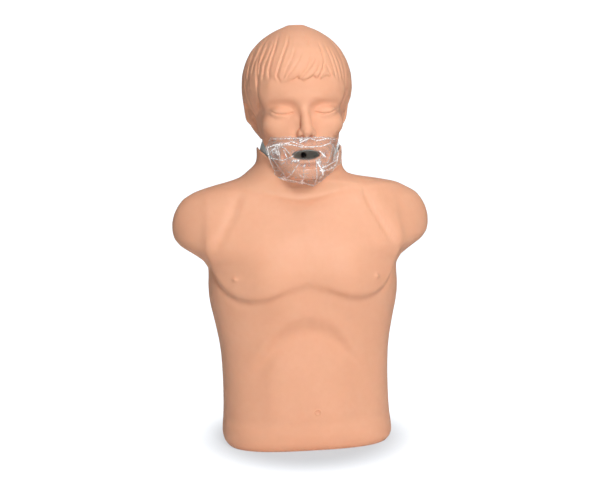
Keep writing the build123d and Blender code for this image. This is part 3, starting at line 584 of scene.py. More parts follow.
# %% Cut the hair back around the face and the ears
FRINGE = [
    (-74, 520), (-69, 545), (-67.5, 565), (-65, 585), (-60.5, 600), (-54, 605), (-46, 605),
    (-38, 600.5), (-28.6, 602), (-20.5, 605), (-10.8, 609.5), (-4.5, 605.5), (1.8, 603), (8, 606),
    (14, 610), (18, 610), (22.8, 606.5), (28, 606), (34, 610), (40, 610), (46.8, 606), (52, 600),
    (57, 588), (61, 574), (65, 550), (70, 520),
]


def face_window():
    """Distance to the space in front of the face, under the fringe."""
    x, y, z = clay_x[:, None, None], clay_y[None, :, None], clay_z[None, None, :]
    fringe = np.interp(clay_x, [p[0] for p in FRINGE], [p[1] for p in FRINGE])[:, None, None]
    fringe = np.where(np.abs(x) > 72, 400, fringe)
    below = (z - fringe) * 0.75
    side = np.abs(x) - 70.0
    behind = y + 40.0 + 0.5 * np.abs(x) - 0.12 * (z - 560)
    return np.maximum(np.maximum(below, side), behind).astype(np.float32)


hair = carve(hair, face_window(), 3.6)
for side in (-1, 1):
    bump(hair, (side * 92, 4, 536), (27, 24, 36), 5, take=True)  # around the ear
    bump(hair, (side * 86, -30, 515), (24, 34, 26), 4, take=True)  # in front of it
print("fringe cut")

# %% [markdown]
# The locks are grooves in the field of the hair: a fan of soft ridges from the crown, which a
# pair of warped sine waves gives, and long grooves on the front, drawn one by one as a sculptor
# would. Each of those is a line of points seen from the front, a width and a depth.

# %% Locks of hair
def crown_locks():
    """Depth of the locks that fan out from the crown, as a field over the clay."""
    x, y, z = clay_x[:, None, None], clay_y[None, :, None], clay_z[None, None, :]
    turn = np.arctan2(x + 4.0, -(y - 38.0)).astype(np.float32)
    fall = np.clip((696 - z) / 190, 0, 1).astype(np.float32)
    warp = 0.30 * np.sin(2.0 * turn + 0.6) + 0.16 * np.sin(5.0 * turn + 3.1 * fall)
    phase = turn + warp * (0.25 + fall) * 0.5 + 0.10 * fall
    broad = np.abs(np.sin(8.5 * phase + 0.7 * np.sin(3 * turn + 1.3)))
    fine = np.abs(np.sin(21.0 * phase + 1.7 * np.sin(4 * turn)))
    start = np.clip((fall - 0.05) / 0.18, 0, 1)
    front = np.clip((-(y + 30)) / 50, 0, 1) * np.clip((78 - np.abs(x)) / 22, 0, 1)
    depth = 1.5 * np.exp(-((broad / 0.20) ** 2)) + 0.6 * np.exp(-((fine / 0.26) ** 2))
    return (depth * start * (1 - 0.88 * front)).astype(np.float32)


hair += crown_locks()

FRONT_LOCKS = [
    ([(-17, 680), (-22, 663), (-30.6, 644.7), (-37.5, 627.6), (-42.7, 612), (-38, 602)], 1.4, 2.1),
    ([(-33, 676), (-39.7, 659), (-48.2, 640.4), (-53.6, 621.7), (-54, 607)], 1.3, 1.6),
    ([(-39, 671), (-49.5, 650), (-59.7, 628.2), (-63.5, 607)], 1.3, 1.3),
    ([(-47, 671), (-55.8, 653), (-66, 631.5), (-70, 606.5), (-69, 582.8), (-68, 559)], 1.3, 1.6),
    ([(-55, 668), (-63.7, 653.3), (-73.9, 633.2), (-79, 615)], 1.3, 1.4),
    ([(-65, 661), (-75, 642.7), (-82, 622.5), (-86, 598)], 1.3, 1.3),
    ([(-9.5, 660), (-16.4, 641.2), (-26.4, 624.2), (-33.2, 608)], 1.2, 1.0),
    ([(0, 652), (-7, 636.3), (-18.5, 620.8), (-28.5, 607)], 1.2, 1.2),
    ([(16, 648), (10.6, 632.7), (0.6, 620.3), (-11, 609)], 1.2, 1.7),
    ([(23.6, 642), (16.8, 627.8), (6.9, 617), (-4.5, 607)], 1.2, 1.5),
    ([(28, 629), (21.4, 618.2), (13, 609), (2, 604)], 1.2, 1.5),
    ([(27.4, 666.8), (31.8, 651), (34.7, 635.2), (31, 619.6), (22.8, 607)], 1.4, 2.2),
    ([(34.7, 635.2), (40.7, 620.9), (46.8, 608)], 1.3, 1.7),
    ([(7, 681), (11.5, 670), (11, 658)], 1.3, 1.3),
    ([(37, 663.5), (44.5, 643), (50.4, 622), (54.7, 600), (60, 574)], 1.3, 1.4),
    ([(45, 658.6), (52.4, 639.5), (58.3, 615.7), (61, 590)], 1.3, 1.2),
    ([(54, 650.5), (62, 631.4), (66, 609), (69, 584)], 1.3, 1.2),
]


def drawn_groove(field, points, width, depth):
    """A groove along a line drawn from the front, fading at both ends."""
    low = (min(p[0] for p in points) - 8, -112, min(p[1] for p in points) - 8)
    high = (max(p[0] for p in points) + 8, 30, max(p[1] for p in points) + 8)
    cut, x, y, z = part_of_clay(low, high)
    x2, z2 = x[:, 0, 0][:, None], z[0, 0, :][None, :]
    nearest = np.full((x2.shape[0], z2.shape[1]), 1e3, np.float32)
    along = np.zeros_like(nearest)
    count = len(points) - 1
    for i, (a, b) in enumerate(zip(points, points[1:])):
        run = np.subtract(b, a)
        t = np.clip(((x2 - a[0]) * run[0] + (z2 - a[1]) * run[1]) / run.dot(run), 0, 1)
        distance = np.hypot(x2 - a[0] - t * run[0], z2 - a[1] - t * run[1])
        closer = distance < nearest
        nearest = np.where(closer, distance, nearest)
        along = np.where(closer, (i + t) / count, along)
    fade = np.clip(along / 0.25, 0, 1) * np.clip((1.08 - along) / 0.15, 0, 1)
    groove = depth * fade * np.exp(-((nearest / width) ** 2))
    ridge = 0.25 * depth * fade * np.exp(-(((nearest - 3.4) / 2.2) ** 2))
    field[cut] += (groove - ridge)[:, None, :].astype(np.float32)


for points, width, depth in FRONT_LOCKS:
    drawn_groove(hair, points, width, depth)
print("locks", len(FRONT_LOCKS))

# %% [markdown]
# ## Turn the clay into a skin
# The hair joins the head with a tight blend, so its edge stays crisp like a moulded step.
# Below, a ball a little larger than the neck is taken out: the head turns on it.

# %% Hair and neck seat
PIVOT_Y, PIVOT_Z = 5.0, 480.0
SEAT_RADIUS = 66.8
head = melt(head, hair, 1.6)
x, y, z = clay_x[:, None, None], clay_y[None, :, None], clay_z[None, None, :]
head = np.maximum(head, JAW_BOTTOM - z)
seat = np.sqrt(x**2 + (y - PIVOT_Y) ** 2 + (z - PIVOT_Z) ** 2) - SEAT_RADIUS
head = carve(head, seat.astype(np.float32), 1.0)
print("neck seat", SEAT_RADIUS, "mm")

# %% [markdown]
# The torso's collar stands up close behind the jaw, and its rim rises from the throat to the
# ears. The head needs room for it at every tilt. A real head skin is soft and gives way; this
# one gets a channel, which is the collar's own ring swept through the tilts of the joint and
# taken out. It lies under the jaw, where the photograph doesn't show it.
# The rim is given as its height at each turn from the front, in degrees.

# %% Channel for the collar
RIM_TURN = [0, 12, 20, 30, 40, 45, 50, 60, 70, 80, 90]
RIM_Z = [462, 462.5, 463.5, 467.5, 473, 476.5, 479.5, 485, 489.5, 493, 494.5]
BEHIND_TURN, BEHIND_Z = [110, 180], [481, 455]
CHANNEL_RADIUS = 70.8
CHANNEL_HALF_WIDTH = 5.0
CHANNEL_GAP = 2.2
TILTS = (-6, -3, 0, 4, 8, 13, 18, 24, 30, 36)


def collar_channel(field):
    """Room for the collar under the jaw, at every tilt of the head that the joint allows."""
    cut, x, y, z = part_of_clay((-80, -76, 424), (80, 90, 500))
    y0, z0 = y - PIVOT_Y, z - PIVOT_Z
    room = np.full(field[cut].shape, 1e3, np.float32)
    for degrees in TILTS:
        a = math.radians(degrees)
        y1 = y0 * math.cos(a) + z0 * math.sin(a)
        z1 = z0 * math.cos(a) - y0 * math.sin(a)
        radius = np.sqrt(x**2 + y1**2)
        turn = np.degrees(np.arctan2(np.abs(x), -y1))
        top = np.interp(turn, RIM_TURN + BEHIND_TURN, RIM_Z + BEHIND_Z) - PIVOT_Z
        beside = np.abs(radius - CHANNEL_RADIUS) - CHANNEL_HALF_WIDTH
        room = np.minimum(room, np.maximum(beside, z1 - top - CHANNEL_GAP))
    field[cut] = carve(field[cut], room.astype(np.float32), 0.8)


collar_channel(head)
print("channel swept over", len(TILTS), "tilts")

# %% [markdown]
# The field now becomes one skin of quads with no holes. Marching over its cells is quick, and
# the same field gives the same mesh each time.

# %% Head skin
def skin_from_field(name, field):
    """One mesh object, in metres, from a field in millimetres."""
    grid = openvdb.FloatGrid()
    grid.copyFromArray(np.ascontiguousarray(np.clip(field, -9, 9), dtype=np.float32))
    points, quads = grid.convertToQuads(isovalue=0.0)
    place = (points * CLAY_STEP + np.array(CLAY_LOW)) / 1000.0
    return add_mesh(name, place.tolist(), quads.tolist())


head_piece = skin_from_field("manikin_head", head)
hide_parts("head_skin", "skull_core")
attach(head_piece, "head")
print("head faces", len(head_piece.data.polygons))

# %% [markdown]
# ## Torso skin
# The torso is a soft vinyl skin, moulded in one piece and pulled over the core like a shirt.
# It is made here as a grid: rings that go round the body, from the hem to the cut edge of the
# neck. Each column of the grid ends on the collar's edge, and its rows are spaced evenly along
# the surface, so the flat tops of the shoulders get as many points as the belly. A field would
# work here too, but a grid keeps clean lines of faces along the long smooth sides.
# Each row is: height, half width, front, back, squareness of the outline, and how far the two
# halves of the chest stand out. Behind the ears the rim slopes down to the nape.
# LEAN moves the neck sideways by LEAN_X at the height LEAN_Z: the real one isn't quite even.

# %% Torso outline
TORSO_ROWS = [
    (0, 136, 93, 89, 2.9, 0),
    (6, 141.5, 99, 95, 2.85, 0),
    (14, 143.5, 101.5, 98, 2.75, 0),
    (26, 143, 101, 97, 2.6, 0),
    (42, 141.5, 99.5, 95, 2.45, 0),
    (62, 140.5, 97.5, 93, 2.4, 0),
    (84, 140, 95.5, 91.5, 2.4, 0),
    (106, 140, 93, 90.5, 2.4, 0),
    (128, 140.5, 92, 91.5, 2.4, 0),
    (150, 141.5, 92, 94, 2.4, 0),
    (172, 144, 92.5, 97, 2.4, 0),
    (194, 148, 94.5, 101, 2.4, 0),
    (214, 152, 97, 105, 2.4, 0.5),
    (232, 156, 100, 108.5, 2.4, 3),
    (250, 158.5, 104, 111, 2.4, 6.5),
    (268, 159, 107.5, 112.5, 2.4, 8.5),
    (284, 158, 109.5, 113.5, 2.4, 9),
    (298, 158, 110, 114, 2.4, 8),
    (312, 167, 108.5, 114, 2.33, 6.5),
    (324, 184, 106.5, 113.5, 2.27, 5.5),
    (336, 203, 103.5, 113, 2.2, 4),
    (348, 212.5, 99.5, 111.5, 2.14, 2.5),
    (360, 215.5, 94.5, 110, 2.08, 1.5),
    (375, 215.5, 87, 107, 2.04, 0.5),
    (390, 211.5, 78.5, 103, 2, 0),
    (403, 204.5, 71, 98.5, 2, 0),
    (414, 195.5, 66, 94.5, 2, 0),
    (424, 178, 63.5, 90.5, 2, 0),
    (432, 158, 63.5, 87, 2, 0),
    (438, 130, 65, 84, 2, 0),
    (444, 99, 66.5, 82.5, 2, 0),
    (449, 87.5, 66.5, 80, 2, 0),
    (456, 81, 66.3, 78.5, 2, 0),
    (463, 74.8, 66.3, 77.5, 2, 0),
    (471, 71.6, 66.3, 76.8, 2, 0),
    (480, 71, 66.3, 76.5, 2, 0),
    (495, 71, 66.3, 76.5, 2, 0),
]
COLLAR_RADIUS = 71.0
rim_y = [PIVOT_Y - COLLAR_RADIUS * math.cos(math.radians(turn)) for turn in RIM_TURN]
EDGE_Y = [-141] + rim_y + [41.5, 78, 151]
EDGE_Z = [430] + RIM_Z + [469.5, 446, 401]
LEAN_Z = [424, 432, 438, 444, 449, 456, 463, 471, 480]
LEAN_X = [0, 4, 2, -5, -8, -7, -4, -1, 0]
COLUMNS = 300
ROWS = 214
PEC_X, PEC_WIDTH = 66, 38
print("torso rows", len(TORSO_ROWS), "rim from", min(RIM_Z), "to", max(RIM_Z), "mm")

# %% A point of the outline
def table_curve(rows, column, z, blur):
    """A column of a table as a smooth curve of height, without rounding off its ends."""
    heights = np.array([r[0] for r in rows], float)
    fine = np.arange(heights[0], heights[-1] + 0.5, 0.5)
    values = np.interp(fine, heights, [r[column] for r in rows])
    window = np.exp(-0.5 * (np.arange(-60, 61) / (blur / 0.5)) ** 2)
    ahead = 2 * values[0] - values[60:0:-1]
    after = 2 * values[-1] - values[-2:-62:-1]
    values = np.convolve(np.r_[ahead, values, after], window / window.sum(), "valid")
    return np.interp(z, fine, values)


def torso_point(turn, z):
    """A point of the torso's outline, in mm. turn 0 is the middle of the front."""
    half, front, back, square, chest = (table_curve(TORSO_ROWS, c, z, 2.6) for c in range(1, 6))
    power = 2 / square
    sine, cosine = np.sin(turn), np.cos(turn)
    x = half * np.sign(sine) * np.abs(sine) ** power + np.interp(z, LEAN_Z, LEAN_X)
    reach = np.abs(cosine) ** power
    y = np.where(cosine > 0, -front * reach, back * reach)
    swell = chest * np.exp(-(((np.abs(x) - PEC_X) / PEC_WIDTH) ** 2))
    y = y - np.where(cosine > 0, swell, 0)
    return np.stack(np.broadcast_arrays(x, y, z), -1)


front_middle = torso_point(np.array(0.0), np.array(290.0))
print("middle of the front at 290 mm", front_middle.round(1).tolist())

# %% Torso grid
def even_turns(count):
    """Turns that space the points of a middle ring evenly."""
    fine = np.linspace(0, 2 * math.pi, 4001)
    ring = torso_point(fine, np.full_like(fine, 300.0))
    length = np.r_[0, np.cumsum(np.linalg.norm(np.diff(ring, axis=0), axis=1))]
    return np.interp(np.arange(count) / count * length[-1], length, fine)


def torso_grid():
    """Rows of points from the hem to the collar's edge, one column a turn."""
    turns = even_turns(COLUMNS)
    top = np.full(COLUMNS, 470.0)
    for _ in range(60):
        edge = torso_point(turns, top)
        top = 0.5 * top + 0.5 * np.interp(edge[:, 1], EDGE_Y, EDGE_Z)
    share = np.linspace(0, 1, 900)[:, None]
    heights = share * top[None, :]
    fine = torso_point(np.broadcast_to(turns, heights.shape), heights)
    step = np.linalg.norm(np.diff(fine, axis=0), axis=2)
    length = np.vstack([np.zeros(COLUMNS), np.cumsum(step, axis=0)])
    rows = np.empty((ROWS, COLUMNS, 3))
    for c in range(COLUMNS):
        even = np.linspace(0, length[-1, c], ROWS)
        z = np.interp(even, length[:, c], heights[:, c])
        rows[:, c] = torso_point(np.full(ROWS, turns[c]), z)
    return rows


outer = torso_grid()
print("torso grid", outer.shape)

# %% [markdown]
# ## Forms of the chest and belly
# The muscles are shallow forms on the smooth outline: a shelf under the chest, the arch of the
# ribs, the belly, and the creases where the arms begin. Each one is written as a height over the
# front view, in millimetres, and the skin moves along its own normal by their sum. Sculpting
# would do the same by hand, but a formula can be read and changed.
# FOLD, ARCH and NOTCH give the height of a line at each distance from the middle. CREASE gives
# the distance of the armpit's crease at each height.

# %% Chest and belly forms
def step_up(t, width):
    """0 below, 1 above, soft over the width."""
    return 0.5 + 0.5 * np.tanh(t / width)


def hump(t, width):
    """1 in the middle, falling to 0 on both sides."""
    return np.exp(-((t / width) ** 2))


FOLD = ([0, 32, 65, 90, 110, 126, 138, 156], [276, 269, 256, 252.5, 256, 266, 280, 322])
ARCH = ([0, 20, 34, 48, 60, 72, 86, 100], [211, 207, 201, 190, 176, 161, 146, 134])
NOTCH = ([0, 8, 28, 65, 105, 140], [406.5, 407, 411, 420, 429, 434])
CREASE = ([330, 338, 345, 368, 393, 417], [146, 141, 138, 126, 113, 103])
MIDDLE_X = -4.0
NIPPLES = ((-115.5, 289.0), (106.5, 286.0))
NAVEL = (8.0, 65.0)


def front_forms(x, z):
    """How far the skin stands out at a point of the front, in mm."""
    side = np.abs(x - MIDDLE_X)
    # the chest: a shelf that ends in a fold below
    above_fold = z - np.interp(side, *FOLD)
    strong = 0.50 + 0.50 * np.clip(side / 80, 0, 1)
    strong = strong * step_up(160 - side, 8)
    shelf = step_up(above_fold - 2.0, 6.5) * np.exp(-np.clip(above_fold, 0, None) / 66)
    out = strong * (9.0 * shelf - 1.6 * hump(above_fold + 8, 8))

    # the arch of the ribs, with a dip under it
    above_arch = z - np.interp(side, *ARCH)
    middle = step_up(84 - side, 16)
    out += middle * (3.4 * hump(above_arch - 18, 18) - 5.2 * hump(above_arch + 12, 17))

    # the belly, and the roll over the hem
    belly = step_up(70 - side, 13) * step_up(166 - z, 20) * step_up(z - 34, 14)
    out += 5.0 * belly
    out += 2.4 * hump(z - 26, 13) * step_up(118 - side, 20) - 1.1 * hump(z - 47, 9)

    # the collarbones and the hollow over them
    above_notch = z - np.interp(side, *NOTCH)
    root = step_up(128 - side, 14)
    hollow = step_up(above_notch - 3, 4.5) * np.exp(-np.clip(above_notch, 0, None) / 26)
    out += root * (1.6 * hump(above_notch + 14, 14) - 4.4 * hollow)

    # the creases where the arms begin, sharper on the right as it is seen
    beside_crease = side - np.interp(z, *CREASE)
    reach = step_up(z - 334, 5) * step_up(424 - z, 8)
    sharp = np.where(x > 0, 2.6, 9.0)
    deep = np.where(x > 0, 2.4, 2.2)
    beyond = np.where(x > 0, 3.2, 0.9)
    out += reach * (-deep * hump(beside_crease, sharp) + beyond * hump(beside_crease - 20, 17))
    out += np.where(x > 0, 1.2, 0.6) * reach * hump(beside_crease + 13, 11)

    # the nipples and the ring of the navel
    for nipple_x, nipple_z in NIPPLES:
        away = np.hypot(x - nipple_x, z - nipple_z)
        out += 2.4 * hump(away, 3.2) + 1.6 * hump(away, 8.0)
    ring = np.hypot(x - NAVEL[0], z - NAVEL[1])
    out += 1.3 * hump(ring - 4.4, 1.0) - 0.8 * hump(ring, 3.0)
    return out


print("forms at the fold", front_forms(np.array([60.0]), np.array([256.0])).round(2).tolist())

# %% Normals of the grid
def normals_of(grid):
    """Outward normals of a closed ring grid."""
    along = np.roll(grid, -1, axis=1) - np.roll(grid, 1, axis=1)
    up = np.gradient(grid, axis=0)
    normal = np.cross(along, up)
    return normal / np.maximum(np.linalg.norm(normal, axis=2, keepdims=True), 1e-9)


outer_normal = normals_of(outer)
if outer_normal[ROWS // 2, 0, 1] > 0:
    outer_normal = -outer_normal
print("front normal", outer_normal[ROWS // 2, 0].round(2).tolist())

# %% [markdown]
# ## Torso mesh
# A vinyl skin has a wall. At the bottom it turns in under the base as a flat lip, and at the
# neck its edge is rounded and its inside shows a little, so rows for both are added to the grid.
# The faces around the navel ring and the nipples are split, because they are smaller than a cell.

# %% Hem and rim
SKIN_WALL = 3.0
HEM_MIDDLE = np.array([0.0, 4.0, 0.0])
HEM_STEPS = ((19, 4.0), (19, 0.6), (18, 0.0), (10, 0.0), (3, 0.0))
RIM_ANGLES = (35, 70, 110, 145)
INSIDE_ROWS = 26


def hem_rows(grid):
    """The lip that turns in under the base, from its inner edge out to the side."""
    rows = []
    for inset, z in HEM_STEPS:
        ring = grid[0].copy()
        radial = ring - HEM_MIDDLE
        radial[:, 2] = 0
        size = np.linalg.norm(radial, axis=1, keepdims=True)
        ring -= radial / size * inset
        ring[:, 2] = z
        rows.append(ring)
    return rows


def collar_rows(grid, normal):
    """The rounded rim of the neck opening and the inside of the skin below it."""
    edge, out = grid[-1], normal[-1]
    down = grid[-2] - grid[-1]
    down /= np.linalg.norm(down, axis=1, keepdims=True)
    rows = []
    for angle in RIM_ANGLES:
        a = math.radians(angle)
        lift = math.sin(a) * SKIN_WALL / 2
        rows.append(edge - out * (1 - math.cos(a)) * SKIN_WALL / 2 - down * lift)
    for k in range(1, INSIDE_ROWS + 1):
        rows.append(grid[-k] - normal[-k] * SKIN_WALL)
    return rows


print("rows added for hem and rim", len(HEM_STEPS) + len(RIM_ANGLES) + INSIDE_ROWS)

# %% Torso mesh
grid_rows = hem_rows(outer) + list(outer) + collar_rows(outer, outer_normal)
row_count = len(grid_rows)
vertices = np.concatenate(grid_rows) / 1000
torso_piece = add_mesh("torso_shell", vertices.tolist(), ring_quads(row_count, COLUMNS))


def refine(piece, centre, reach, cuts):
    """Splits the faces round a small detail, so that its shape can be shown."""
    work = bmesh.new()
    work.from_mesh(piece.data)

    def is_near(vertex):
        """True on the front, within reach of the detail."""
        away = math.hypot(vertex.co.x - centre[0], vertex.co.z - centre[1])
        return vertex.co.y < 0 and away < reach

    near = [edge for edge in work.edges if all(is_near(v) for v in edge.verts)]
    bmesh.ops.subdivide_edges(work, edges=near, cuts=cuts, use_grid_fill=True)
    work.to_mesh(piece.data)
    work.free()


# place in metres, reach and cuts: the navel ring, then the nipples
SMALL_DETAILS = [
    ((0.008, 0.065), 0.012, 4),
    ((-0.1155, 0.2905), 0.016, 2),
    ((0.1065, 0.287), 0.016, 2),
]
for centre, reach, cuts in SMALL_DETAILS:
    refine(torso_piece, centre, reach, cuts)
print("torso points", len(torso_piece.data.vertices))

# %% Raise the forms
def points_and_normals(mesh):
    """Places and normals of a mesh's points, as two tables."""
    size = len(mesh.vertices)
    place, normal = np.empty(size * 3), np.empty(size * 3)
    mesh.vertices.foreach_get("co", place)
    mesh.vertex_normals.foreach_get("vector", normal)
    return place.reshape(-1, 3), normal.reshape(-1, 3)


def push_out(piece, forms, chosen):
    """Moves each chosen point along its normal by the height that forms() gives."""
    mesh = piece.data
    place, normal = points_and_normals(mesh)
    mask = chosen(place, normal)
    height = forms(place[:, 0] * 1000, place[:, 2] * 1000) * mask / 1000
    place += normal * height[:, None]
    mesh.vertices.foreach_set("co", place.ravel())
    mesh.update()


def front_only(place, normal):
    """1 on the front outside of the skin, fading to 0 at the sides and at the hem."""
    ahead = np.clip((-place[:, 1] - 0.012) / 0.03, 0, 1)
    outside = np.clip(-normal[:, 1] * 3, 0, 1)
    return ahead * outside * np.clip(place[:, 2] / 0.006, 0, 1)


push_out(torso_piece, front_forms, front_only)
print("chest and belly raised")

# %% [markdown]
# ## Collar
# On the real manikin the neck of the skin bends with the head, and the chest dents under the
# hands. One piece can bend across only one joint here, so the skin is parted along a row of the
# grid at the foot of the neck, into a collar and the torso. Both halves keep the points and the
# normals they share, so the seam doesn't show.

# %% Collar
SEAM_Z = 438.0


def split_collar(piece, seam):
    """Parts the neck of the skin from the torso along one row of the grid."""
    mesh = piece.data
    place, normal = points_and_normals(mesh)
    first, last = seam * COLUMNS, row_count * COLUMNS
    collar_faces = ring_quads(row_count - seam, COLUMNS)
    collar = add_mesh("torso_collar", place[first:last].tolist(), collar_faces)
    keep = np.ones(len(place), bool)
    keep[first + COLUMNS : last] = False
    work = bmesh.new()
    work.from_mesh(mesh)
    work.verts.ensure_lookup_table()
    bmesh.ops.delete(work, geom=[work.verts[i] for i in np.flatnonzero(~keep)], context="VERTS")
    work.to_mesh(mesh)
    work.free()
    for part, chosen in ((piece, normal[keep]), (collar, normal[first:last])):
        part.data.polygons.foreach_set("use_smooth", [True] * len(part.data.polygons))
        part.data.normals_split_custom_set_from_vertices(chosen.tolist())
    return collar


seam = len(HEM_STEPS) + int(np.flatnonzero(outer[:, :, 2].max(axis=1) < SEAM_Z)[-1])
collar_piece = split_collar(torso_piece, seam)
for piece in (torso_piece, collar_piece):
    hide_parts("torso_skin")
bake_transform(torso_piece)
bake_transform(collar_piece)
print("collar from row", seam, "of", row_count)
print("torso faces", len(torso_piece.data.polygons))

# %% [markdown]
# ## Film over the mouth
# A thin clear film lies over the mouth and chin, and its sleeve goes into the mouth, so that the
# trainee's breath reaches the lung and no mouth touches the vinyl. It has been unfolded from a
# packet and pressed on by hand, so it is full of sharp creases that catch the light.
# A cloth simulation gives soft folds, not these, so the sheet is laid over a depth map of the
# face like a membrane: each point rests on the face or hangs between its neighbours.

# %% Drape over the face
DRAPE_STEP = 1.2
LOWEST_DEPTH = 52.0
LIP_DEPTH = 90.0


def between(table, i, k):
    """Values of a table at places between its points, at row i and column k."""
    i0, k0 = i.astype(int), k.astype(int)
    part_i, part_k = i - i0, k - k0
    low = table[i0, k0] * (1 - part_i) + table[i0 + 1, k0] * part_i
    high = table[i0, k0 + 1] * (1 - part_i) + table[i0 + 1, k0 + 1] * part_i
    return low * (1 - part_k) + high * part_k


def face_depth(x, z):
    """How far the front of the clay head stands out at a place, in mm, 0 beside the head."""
    solid = head < 0
    first = np.argmax(solid, axis=1)
    hit = solid.any(axis=1)
    depth = np.where(hit, -(clay_y[0] + first * CLAY_STEP), 0.0)
    i = np.clip((x - clay_x[0]) / CLAY_STEP, 0, len(clay_x) - 1.001)
    k = np.clip((z - clay_z[0]) / CLAY_STEP, 0, len(clay_z) - 1.001)
    return between(depth, i, k)


def drape():
    """Depth of a membrane pulled over the face, on a plain grid."""
    x = np.arange(-72, 72.1, DRAPE_STEP)
    z = np.arange(426, 524.1, DRAPE_STEP)
    gx, gz = np.meshgrid(x, z, indexing="ij")
    face = np.maximum(face_depth(gx, gz) + 1.0, LOWEST_DEPTH)
    inside_mouth = (gx / 24) ** 2 + ((gz - MOUTH_Z) / 9.5) ** 2 < 1
    face[inside_mouth] = LIP_DEPTH
    sheet = face.copy()
    for _ in range(500):
        edge = np.pad(sheet, 1, "edge")
        mean = (edge[:-2, 1:-1] + edge[2:, 1:-1] + edge[1:-1, :-2] + edge[1:-1, 2:]) / 4
        sheet = np.maximum(face, mean - 0.035)
    return x, z, sheet


drape_x, drape_z, drape_depth = drape()
print("film drape from", drape_depth.min().round(1), "to", drape_depth.max().round(1), "mm")

# %% [markdown]
# Then the creases are drawn in. The large ones are placed as they lie on the real film, each a
# line of points seen from the front with its height and its whiteness. Many small ones come from a
# seeded list. Whiteness and bunching are painted on the points, and the finish reads them. The
# whiteness is partly light that the creases really scatter and partly painted glints and
# highlights.

# %% Creases of the film
SMALL_CREASES = 420
# each of the large creases: its line seen from the front, its height, and its whiteness, which is
# partly a painted highlight along it
FILM_CREASES = [
    ([(-60, 497), (-45, 503), (-26, 506)], 1.3, 1.0),
    ([(-50, 512), (-10, 513), (22, 513), (50, 508)], 1.2, 0.6),
    ([(-42, 502), (-23, 503), (-7, 499), (25, 499), (42, 503)], 1.3, 0.8),
    ([(-25, 509), (-5, 501)], 0.9, 0.7),
    ([(-10, 506), (5, 513), (18, 508), (38, 511)], 1.0, 0.8),
    ([(-58, 497), (-56, 481), (-53, 470)], 1.2, 0.8),
    ([(-44, 501), (-41, 481)], 1.2, 0.5),
    ([(-55, 481), (-37, 478), (-22, 485)], 1.1, 0.7),
    ([(-40, 471), (-19, 486)], 0.8, 0.4),
    ([(-52, 480), (-37, 460), (-32, 449)], 1.0, 0.4),
    ([(-12, 474), (-29, 450)], 1.3, 0.6),
    ([(-5, 468), (-6, 443)], 0.8, 0.4),
    ([(-43, 449), (-30, 446), (-6, 441), (16, 434)], 0.8, 0.5),
    ([(15, 478), (17, 434)], 1.4, 0.6),
    ([(17, 474), (24, 462), (28, 452)], 2.6, 1.6),
    ([(22, 491), (31, 482)], 1.4, 1.3),
    ([(26, 465), (53, 473)], 1.0, 0.8),
    ([(26, 459), (48, 462), (54, 469)], 1.1, 0.7),
    ([(35, 472), (47, 497), (42, 503)], 1.3, 0.5),
    ([(55, 498), (58, 484), (54, 468)], 1.4, 0.7),
    ([(47, 500), (52, 490), (48, 474)], 1.5, 0.6),
    ([(-48, 497), (-44, 487)], 1.0, 1.3),
    ([(-35, 494), (-31, 484)], 0.9, 0.9),
    ([(-27, 489), (-33, 497), (-37, 499)], 0.8, 0.7),
    ([(30, 460), (44, 458)], 0.7, 0.5),
    ([(38, 446), (20, 436)], 0.7, 0.5),
]
# each bunch: centre, half sizes and how much; the finish paints glints where the film bunches
FILM_BUNCHES = [
    (-49, 491, 7.5, 8.5, 1.0), (-46, 501, 7, 4, 0.7), (-35, 447, 6, 3, 0.7), (-6, 442, 3, 4, 0.8),
    (-5, 470, 4, 2.6, 0.9), (-18, 477, 6, 2.4, 0.8), (20, 476, 4, 7, 0.9), (26, 460, 4, 8, 1.0),
    (28, 485, 4, 5, 0.8), (52, 477, 5, 5, 0.6), (-9, 510, 14, 4, 0.6), (22, 446, 4, 6, 0.5),
    (12, 487, 7, 3, 0.5), (45, 462, 8, 3, 0.4), (-58, 482, 4, 3, 0.8),
]
print("creases", len(FILM_CREASES), "drawn and", SMALL_CREASES, "small")

# %% Relief of the creases
def distance_to_line(x, z, a, b):
    """Distance to a line piece and how far along it, 0 to 1."""
    run_x, run_z = b[0] - a[0], b[1] - a[1]
    t = ((x - a[0]) * run_x + (z - a[1]) * run_z) / (run_x**2 + run_z**2)
    t = np.clip(t, 0, 1)
    return np.hypot(x - a[0] - t * run_x, z - a[1] - t * run_z), t


def film_relief(x, z):
    """Height of the creases and how white each point is; the white is partly light that creases
    scatter and partly painted highlight.
    """
    height = np.zeros_like(x)
    white = np.zeros_like(x)
    for points, tall, bright in FILM_CREASES:
        near = np.full_like(x, 1e3)
        for a, b in zip(points, points[1:]):
            near = np.minimum(near, distance_to_line(x, z, a, b)[0])
        height += tall * np.clip(1 - near / (2.2 + 1.6 * tall), 0, 1)
        # whiteness along the drawn creases: partly scattered light, partly painted highlight
        white = np.maximum(white, bright * np.exp(-((near / 0.95) ** 2)))
    bunched = np.zeros_like(x)
    for bx, bz, half_x, half_z, much in FILM_BUNCHES:
        round_it = ((x - bx) / half_x) ** 2 + ((z - bz) / half_z) ** 2
        bunched = np.maximum(bunched, much * np.exp(-round_it))
    random = np.random.default_rng(7)
    for _ in range(SMALL_CREASES):
        a = random.uniform((-62, 434), (60, 516))
        turn = random.uniform(0, math.pi)
        size = random.uniform(3.5, 13)
        b = a + size * np.array((math.cos(turn), math.sin(turn)))
        near, t = distance_to_line(x, z, a, b)
        tall = random.uniform(0.25, 0.75)
        fade = np.sin(math.pi * np.clip(t, 0.02, 0.98))
        local = 0.45 + 0.9 * bunched
        height += tall * local * fade * np.clip(1 - near / 2.6, 0, 1)
        # whiteness of the small creases, stronger where the film bunches: painted glints
        bright = random.uniform(0.15, 1.0) ** 2.4
        white = np.maximum(white, 1.3 * bright * local * fade * np.exp(-((near / 0.75) ** 2)))
    return height, np.clip(white, 0, 1), bunched


